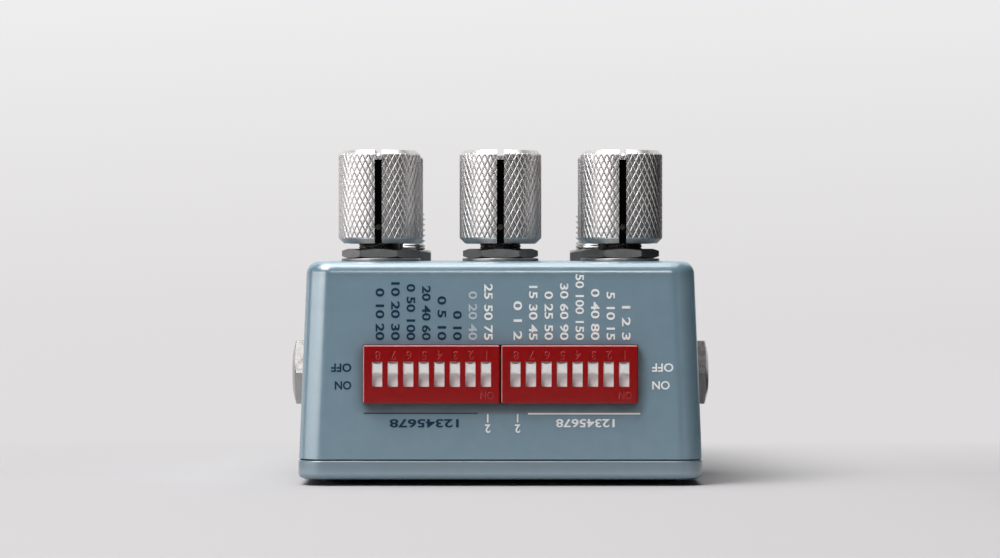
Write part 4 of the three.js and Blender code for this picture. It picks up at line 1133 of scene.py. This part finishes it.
jack = {"bush": 4.5, "bore": 3.25, "boreEnd": 1.5, "mouthEdge": 0.2, "root": 0.5, "width": 15.9,
        "height": 12.4, "length": 22.0, "edge": 0.5, "nutFlats": 10.8, "nutFace": 5.4, "nutLow": 0.12,
        "nutHigh": 0.0, "nutDome": 0.5, "nutTurn": 0, "nutGap": 0.15, "bandFrom": 0.15, "bandTo": 0.955}
inlet = {"snout": 4.2, "snoutEdge": 0.3, "root": 0.5, "bore": 2.85, "boreDepth": 9.5, "pin": 1.05,
         "pinEdge": 0.4, "pinRoot": 1.0, "pinSetback": 1.4, "bodyLength": 14.2, "bodyEdge": 0.4,
         "axisDrop": 6.5}
axisZ = {"input_jack": middleOf("input_jack").z, "output_jack": middleOf("output_jack").z,
         "power_inlet": boxOf("power_inlet")[1].z - inlet["axisDrop"]}


def laid(side, node):
    return shift(0, middleOf(node).y, axisZ[node]) @ turn(side * 90, "Y")


def makeJack(name, side):
    node = f"{name}_jack"
    low, high = boxOf(node)
    near, far = sorted((abs(low.x), abs(high.x)))
    lay = laid(side, node)
    x, y, front = jack["height"] / 2, jack["width"] / 2, near + jack["length"]
    body = newPiece(f"{node}_body", block(-x, x, -y, y, near, front), finish["blackMoulding"])
    bevel(body, jack["edge"])
    carve(body, rod(jack["bore"], near + jack["boreEnd"], front + over))
    body.data.transform(lay)
    settle(body, housing, "black_moulding", node)
    edge, root = jack["mouthEdge"], front - jack["root"]
    tube = turned([(jack["bore"], root), (jack["bush"], root), (jack["bush"], far - edge),
                   (jack["bush"] - edge, far), (jack["bore"], far)], around=96)
    piece = newPiece(f"{node}_bushing", moved(tube, lay), finish["jackNickel"])
    settle(piece, housing, "black_moulding")
    nutLow, nutHigh = boxOf(f"{node}_nut")
    wallX, faceX = sorted((abs(nutLow.x), abs(nutHigh.x)))
    gap = jack["nutGap"]
    nut = hexNut(f"{node}_ring_nut", jack, jack["bore"] + gap, faceX - wallX, "jackNickel")
    nut.data.transform(lay @ shift(0, 0, wallX))
    carve(nut, moved(rod(jack["bush"] + gap, wallX - over, far + gap), lay))
    # the rounded outer band is painted dark, as a painted dark reflection
    nut.data.materials.append(finish["blackOxide"])
    # faces of the domed band, picked by their angle, take the dark finish as a painted reflection
    for face in nut.data.polygons:
        if jack["bandFrom"] < abs(face.normal.x) < jack["bandTo"]:
            face.material_index = len(nut.data.materials) - 1
    settle(nut, housing, "jack_nickel", f"{node}_nut")


def makeInlet():
    node = "power_inlet"
    low, high = boxOf(node)
    lay = laid(1, node)
    half, mouth = (high.y - low.y) / 2, high.x
    up, down = high.z - axisZ[node], axisZ[node] - low.z
    front = low.x + inlet["bodyLength"]
    body = newPiece("power_inlet_body", block(-up, down, -half, half, low.x, front), finish["blackMoulding"])
    bevel(body, inlet["bodyEdge"])
    edge, root = inlet["snoutEdge"], front - inlet["root"]
    rim = arc((inlet["snout"] - edge, mouth - edge), edge, 0, 90, steps=4)
    carve(body, turned([(0, root), (inlet["snout"], root), *rim, (0, mouth)]), operation="UNION")
    carve(body, rod(inlet["bore"], mouth - inlet["boreDepth"], mouth + over))
    body.data.transform(lay)
    settle(body, housing, "black_moulding", node)
    radius, edge = inlet["pin"], inlet["pinEdge"]
    rootZ, tip = mouth - inlet["boreDepth"] - inlet["pinRoot"], mouth - inlet["pinSetback"]
    rim = arc((radius - edge, tip - edge), edge, 0, 90, steps=5)
    pin = turned([(0, rootZ), (radius, rootZ), *rim, (0, tip)], around=32)
    piece = newPiece("power_inlet_pin", moved(pin, lay), finish["zincSteel"])
    settle(piece, housing, "black_moulding")


def paintBoards():
    for node in ("main_board", "switch_board"):
        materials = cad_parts[node].data.materials
        materials.clear()
        materials.append(finish["boardLaminate"])


# printed marks on the rear wall: plain numbers, ON and OFF, and two rules

ink = {"thick": 0.02, "sunk": 0.01, "bold": 0.022, "columnFoot": 23.9, "columnWidth": 1.42,
       "columnShift": 0.4, "wordHeight": 1.4}
# over each slider: the numbers, their length and their ink
columnMarks = {
    "left": [("25 50 75", 9.2, "white"), ("0 20 40", 8.0, "grey"), ("0 10", 4.8, "navy"),
             ("0 5 10", 7.2, "navy"), ("20 40 60", 8.9, "navy"), ("0 50 100", 9.2, "navy"),
             ("10 20 30", 9.5, "navy"), ("0 10 20", 8.5, "navy")],
    "right": [("1 2 3", 5.6, "white"), ("5 10 15", 7.9, "white"), ("0 40 80", 8.4, "white"),
              ("50 100 150", 10.8, "white"), ("30 60 90", 9.3, "white"), ("0 25 50", 8.0, "white"),
              ("15 30 45", 8.9, "white"), ("0 1 2", 6.4, "white")],
}
# the text, its middle across and up, its width and its ink
wallMarks = [
    ("OFF", -26.1, 19.4, 3.3, "navy"), ("ON", -25.8, 16.5, 2.7, "navy"),
    ("OFF", 26.6, 19.4, 3.5, "white"), ("ON", 26.3, 16.5, 2.9, "white"),
    ("12345678", -12.5, 10.3, 11.3, "navy"), ("12345678", 13.9, 10.3, 9.6, "white"),
    ("1", -2.1, 11.1, None, "white"), ("2", -2.1, 9.4, None, "white"),
    ("1", 2.8, 11.1, None, "white"), ("2", 2.8, 9.4, None, "white"),
]
# both ends, the height, the width and the ink
rules = [(-22.4, -3.7, 11.95, 0.16, "navy"), (4.5, 22.9, 11.85, 0.28, "white")]


def onWall(shape):
    # each point is moved back to the slanted face of the wall
    for vertex in shape.verts:
        vertex.co.y += wallAt(vertex.co.z) - ink["thick"] / 2 + ink["sunk"] / 2
    return shape


def makeMarks():
    inks = {colour: bmesh.new() for colour in ("navy", "grey", "white")}
    thick = ink["thick"] + ink["sunk"]
    for side in sides:
        for slider, (text, length, colour) in zip(slidersOf(side), columnMarks[side]):
            shape = letters(text, ink["columnWidth"], ink["bold"], thick, length)
            x, z = middleOf(slider).x + ink["columnShift"], ink["columnFoot"] + length / 2
            join(inks[colour], moved(shape, faceSideways(x, z, 0)))
    for text, x, z, width, colour in wallMarks:
        shape = letters(text, ink["wordHeight"], ink["bold"], thick, width)
        join(inks[colour], moved(shape, faceDown(x, z, 0)))
    for x0, x1, z, width, colour in rules:
        join(inks[colour], block(x0, x1, -thick / 2, thick / 2, z - width / 2, z + width / 2))
    for colour, shape in inks.items():
        piece = newPiece(f"print_{colour}", onWall(shape), finish[f"{colour}Ink"])
        settle(piece, housing, None)


makeShell()
print("enclosure shell made")
makeLid()
makeScrews()
makeFeet()
print("base cover, screws and feet made")
for side in sides:
    makeBank(side)
    markBank(side)
makeSliders()
print("switch banks and sliders made")
makePotentiometers()
makeKnobs()
print("potentiometers and knobs made")
makeToggles()
makeLevers()
makeFootSwitches()
makeButtons()
makeLamps()
print("toggles, foot switches and lamps made")
makeJack("input", -1)
makeJack("output", 1)
makeInlet()
paintBoards()
print("jacks, inlet and boards made")
makeMarks()
print("printed marks made")

# studio: lengths here are metres


def aimed(place, aim):
    way = Vector(aim) - Vector(place)
    return Matrix.Translation(place) @ way.to_track_quat("-Z", "Y").to_matrix().to_4x4()


paper = {"colour": (196, 194, 195), "roughness": 0.9, "specular": 0.1, "width": 6.0, "near": -3.0,
         "bendStart": 1.1, "bendRadius": 1.2, "height": 3.5, "glowStart": -0.02, "glowEnd": 0.1,
         "low": (224, 222, 223), "high": (239, 238, 239), "highZ": 0.19, "sideSpan": 0.35, "sideFall": 0.03}


def makeFloor():
    # one sheet: flat floor, then a bend, then upright
    radius, half = paper["bendRadius"], paper["width"] / 2
    bend = arc((paper["bendStart"], radius), radius, -90, 0, steps=48)
    outline = [(paper["near"], 0.0), *bend, (paper["bendStart"] + radius, paper["height"])]
    shape = bmesh.new()
    lines = [[shape.verts.new((side * half, y, z)) for side in (-1, 1)] for y, z in outline]
    for near, far in zip(lines, lines[1:]):
        shape.faces.new((near[0], near[1], far[1], far[0]))
    floor = newPiece("floor", shape, makePaper())
    floor.data.shade_smooth()


def makePaper():
    material = bpy.data.materials.new("backdropPaper")
    material.use_nodes = True
    tree = material.node_tree
    shader = tree.nodes["Principled BSDF"]
    shader.inputs["Base Color"].default_value = linear(paper["colour"])
    shader.inputs["Roughness"].default_value = paper["roughness"]
    shader.inputs["Specular IOR Level"].default_value = paper["specular"]
    # away from the pedal the paper glows for the camera and for reflections, so no horizon shows
    place = addNode(tree, "ShaderNodeTexCoord").outputs["Object"]
    apart = addNode(tree, "ShaderNodeSeparateXYZ", {"Vector": place}).outputs

    def rise(value, start, end):
        node = addNode(tree, "ShaderNodeMapRange", {"Value": value, "From Min": start, "From Max": end})
        return node.outputs[0]

    far = rise(apart["Y"], paper["glowStart"], paper["glowEnd"])
    upward = rise(apart["Z"], 0, paper["highZ"])
    sideways = rise(apart["X"], -paper["sideSpan"], paper["sideSpan"])
    # the glow is painted light: paler higher up, and a little darker towards +X
    level = shadeOf(tree, upward, linear(paper["low"]), linear(paper["high"]))
    level = shadeOf(tree, Wire(tree, sideways) * paper["sideFall"], level, black)
    path = addNode(tree, "ShaderNodeLightPath").outputs
    eye, gloss, glass = (Wire(tree, path[name]) for name in (
        "Is Camera Ray", "Is Glossy Ray", "Is Transmission Ray"))
    share = Wire(tree, far) * (eye + gloss + glass).least(1)
    glow = addNode(tree, "ShaderNodeEmission", {"Color": level})
    blend = addNode(tree, "ShaderNodeMixShader", {0: share, 1: shader.outputs[0], 2: glow.outputs[0]})
    tree.links.new(blend.outputs[0], tree.nodes["Material Output"].inputs["Surface"])
    return material


flags = {
    "flag_right": {"place": (0.45, 0.05, 0.2), "size": (1.2, 0.5), "aim": (0, 0.05, 0.2), "bounce": True},
    "flag_floor": {"place": (0.5, -0.1, 0.003), "size": (0.85, 1.0), "aim": (0.5, -0.1, 1), "bounce": False},
    "flag_camera": {"place": (0, -1.0, 0.003), "size": (2.6, 1.4), "aim": (0, -1, 1), "bounce": False},
}
velvet = {"colour": (14, 14, 15), "roughness": 1}


def makeFlags():
    # black cards out of sight, that darken what shiny surfaces mirror
    cloth = bpy.data.materials.new("flagVelvet")
    cloth.use_nodes = True
    shader = cloth.node_tree.nodes["Principled BSDF"]
    shader.inputs["Base Color"].default_value = linear(velvet["colour"])
    shader.inputs["Roughness"].default_value = velvet["roughness"]
    for name, card in flags.items():
        shape = bmesh.new()
        bmesh.ops.create_grid(shape, x_segments=1, y_segments=1, size=0.5)
        moved(shape, Matrix.Diagonal((*card["size"], 1, 1)))
        piece = newPiece(name, moved(shape, aimed(card["place"], card["aim"])), cloth)
        piece.visible_camera = False
        piece.visible_shadow = False
        piece.visible_diffuse = card["bounce"]


# softboxes round the pedal: turned to the left from the camera's side, risen above the table;
# those that don't light the pedal only show as reflections on it
softboxes = {
    "overhead": {"turn": 0, "rise": 90, "away": 1.1, "size": (1.05, 1.05), "power": 6.0, "lights": True},
    "high_left": {"turn": 55, "rise": 66, "away": 1.1, "size": (0.8, 0.8), "power": 4.2, "lights": True},
    "side_left": {"turn": 95, "rise": 74, "away": 1.1, "size": (0.8, 0.8), "power": 1.8, "lights": True},
    "front": {"turn": 38, "rise": 49, "away": 1.1, "size": (0.5, 0.5), "power": 5.2, "lights": True},
    "front_left": {"turn": 70, "rise": 55, "away": 1.1, "size": (0.6, 0.6), "power": 1.4, "lights": True},
    "front_low": {"turn": -4, "rise": 21, "away": 1.3, "size": (0.3, 0.2), "power": 1.2, "lights": False},
    "strip_side": {"turn": 85, "rise": 8, "away": 1.1, "size": (0.45, 0.3), "power": 0.9, "lights": False},
    "strip_left": {"turn": 62, "rise": 8, "away": 1.1, "size": (0.45, 0.3), "power": 1.0, "lights": False},
    "strip_front": {"turn": 40, "rise": 10, "away": 1.1, "size": (0.45, 0.3), "power": 1.4, "lights": False},
    "strip_right": {"turn": -50, "rise": 8, "away": 1.1, "size": (0.45, 0.3), "power": 0.7, "lights": False},
    "back": {"turn": 180, "rise": 60, "away": 1.1, "size": (0.8, 0.8), "power": 1.2, "lights": True},
}
room = {"colour": (255, 255, 255), "light": 0.01, "aim": (0, 0, 0.03)}


def makeLights():
    aim = Vector(room["aim"])
    for name, box in softboxes.items():
        light = bpy.data.lights.new(name, "AREA")
        light.shape = "RECTANGLE"
        light.size, light.size_y = box["size"]
        light.energy = box["power"]
        side, rise = math.radians(box["turn"]), math.radians(box["rise"])
        way = Vector((-math.cos(rise) * math.sin(side), -math.cos(rise) * math.cos(side), math.sin(rise)))
        piece = linked(name, light)
        piece.matrix_world = aimed(aim + way * box["away"], aim)
        piece.visible_diffuse = box["lights"]
    world = bpy.data.worlds.new("studio")
    bpy.context.scene.world = world
    world.use_nodes = True
    background = world.node_tree.nodes["Background"]
    background.inputs["Color"].default_value = linear(room["colour"])
    background.inputs["Strength"].default_value = room["light"]


camera = {"lens": 142.6, "sensor": 36.0, "place": (-0.00008, -0.7085, 0.038), "pitch": -0.36}


def makeCamera():
    data = bpy.data.cameras.new("camera")
    data.lens = camera["lens"]
    data.sensor_width = camera["sensor"]
    piece = linked("camera", data)
    piece.location = camera["place"]
    piece.rotation_euler = (math.radians(90 + camera["pitch"]), 0, 0)
    bpy.context.scene.camera = piece


makeFloor()
makeFlags()
makeLights()
makeCamera()
bpy.context.scene.view_settings.view_transform = "Standard"
print("studio made")
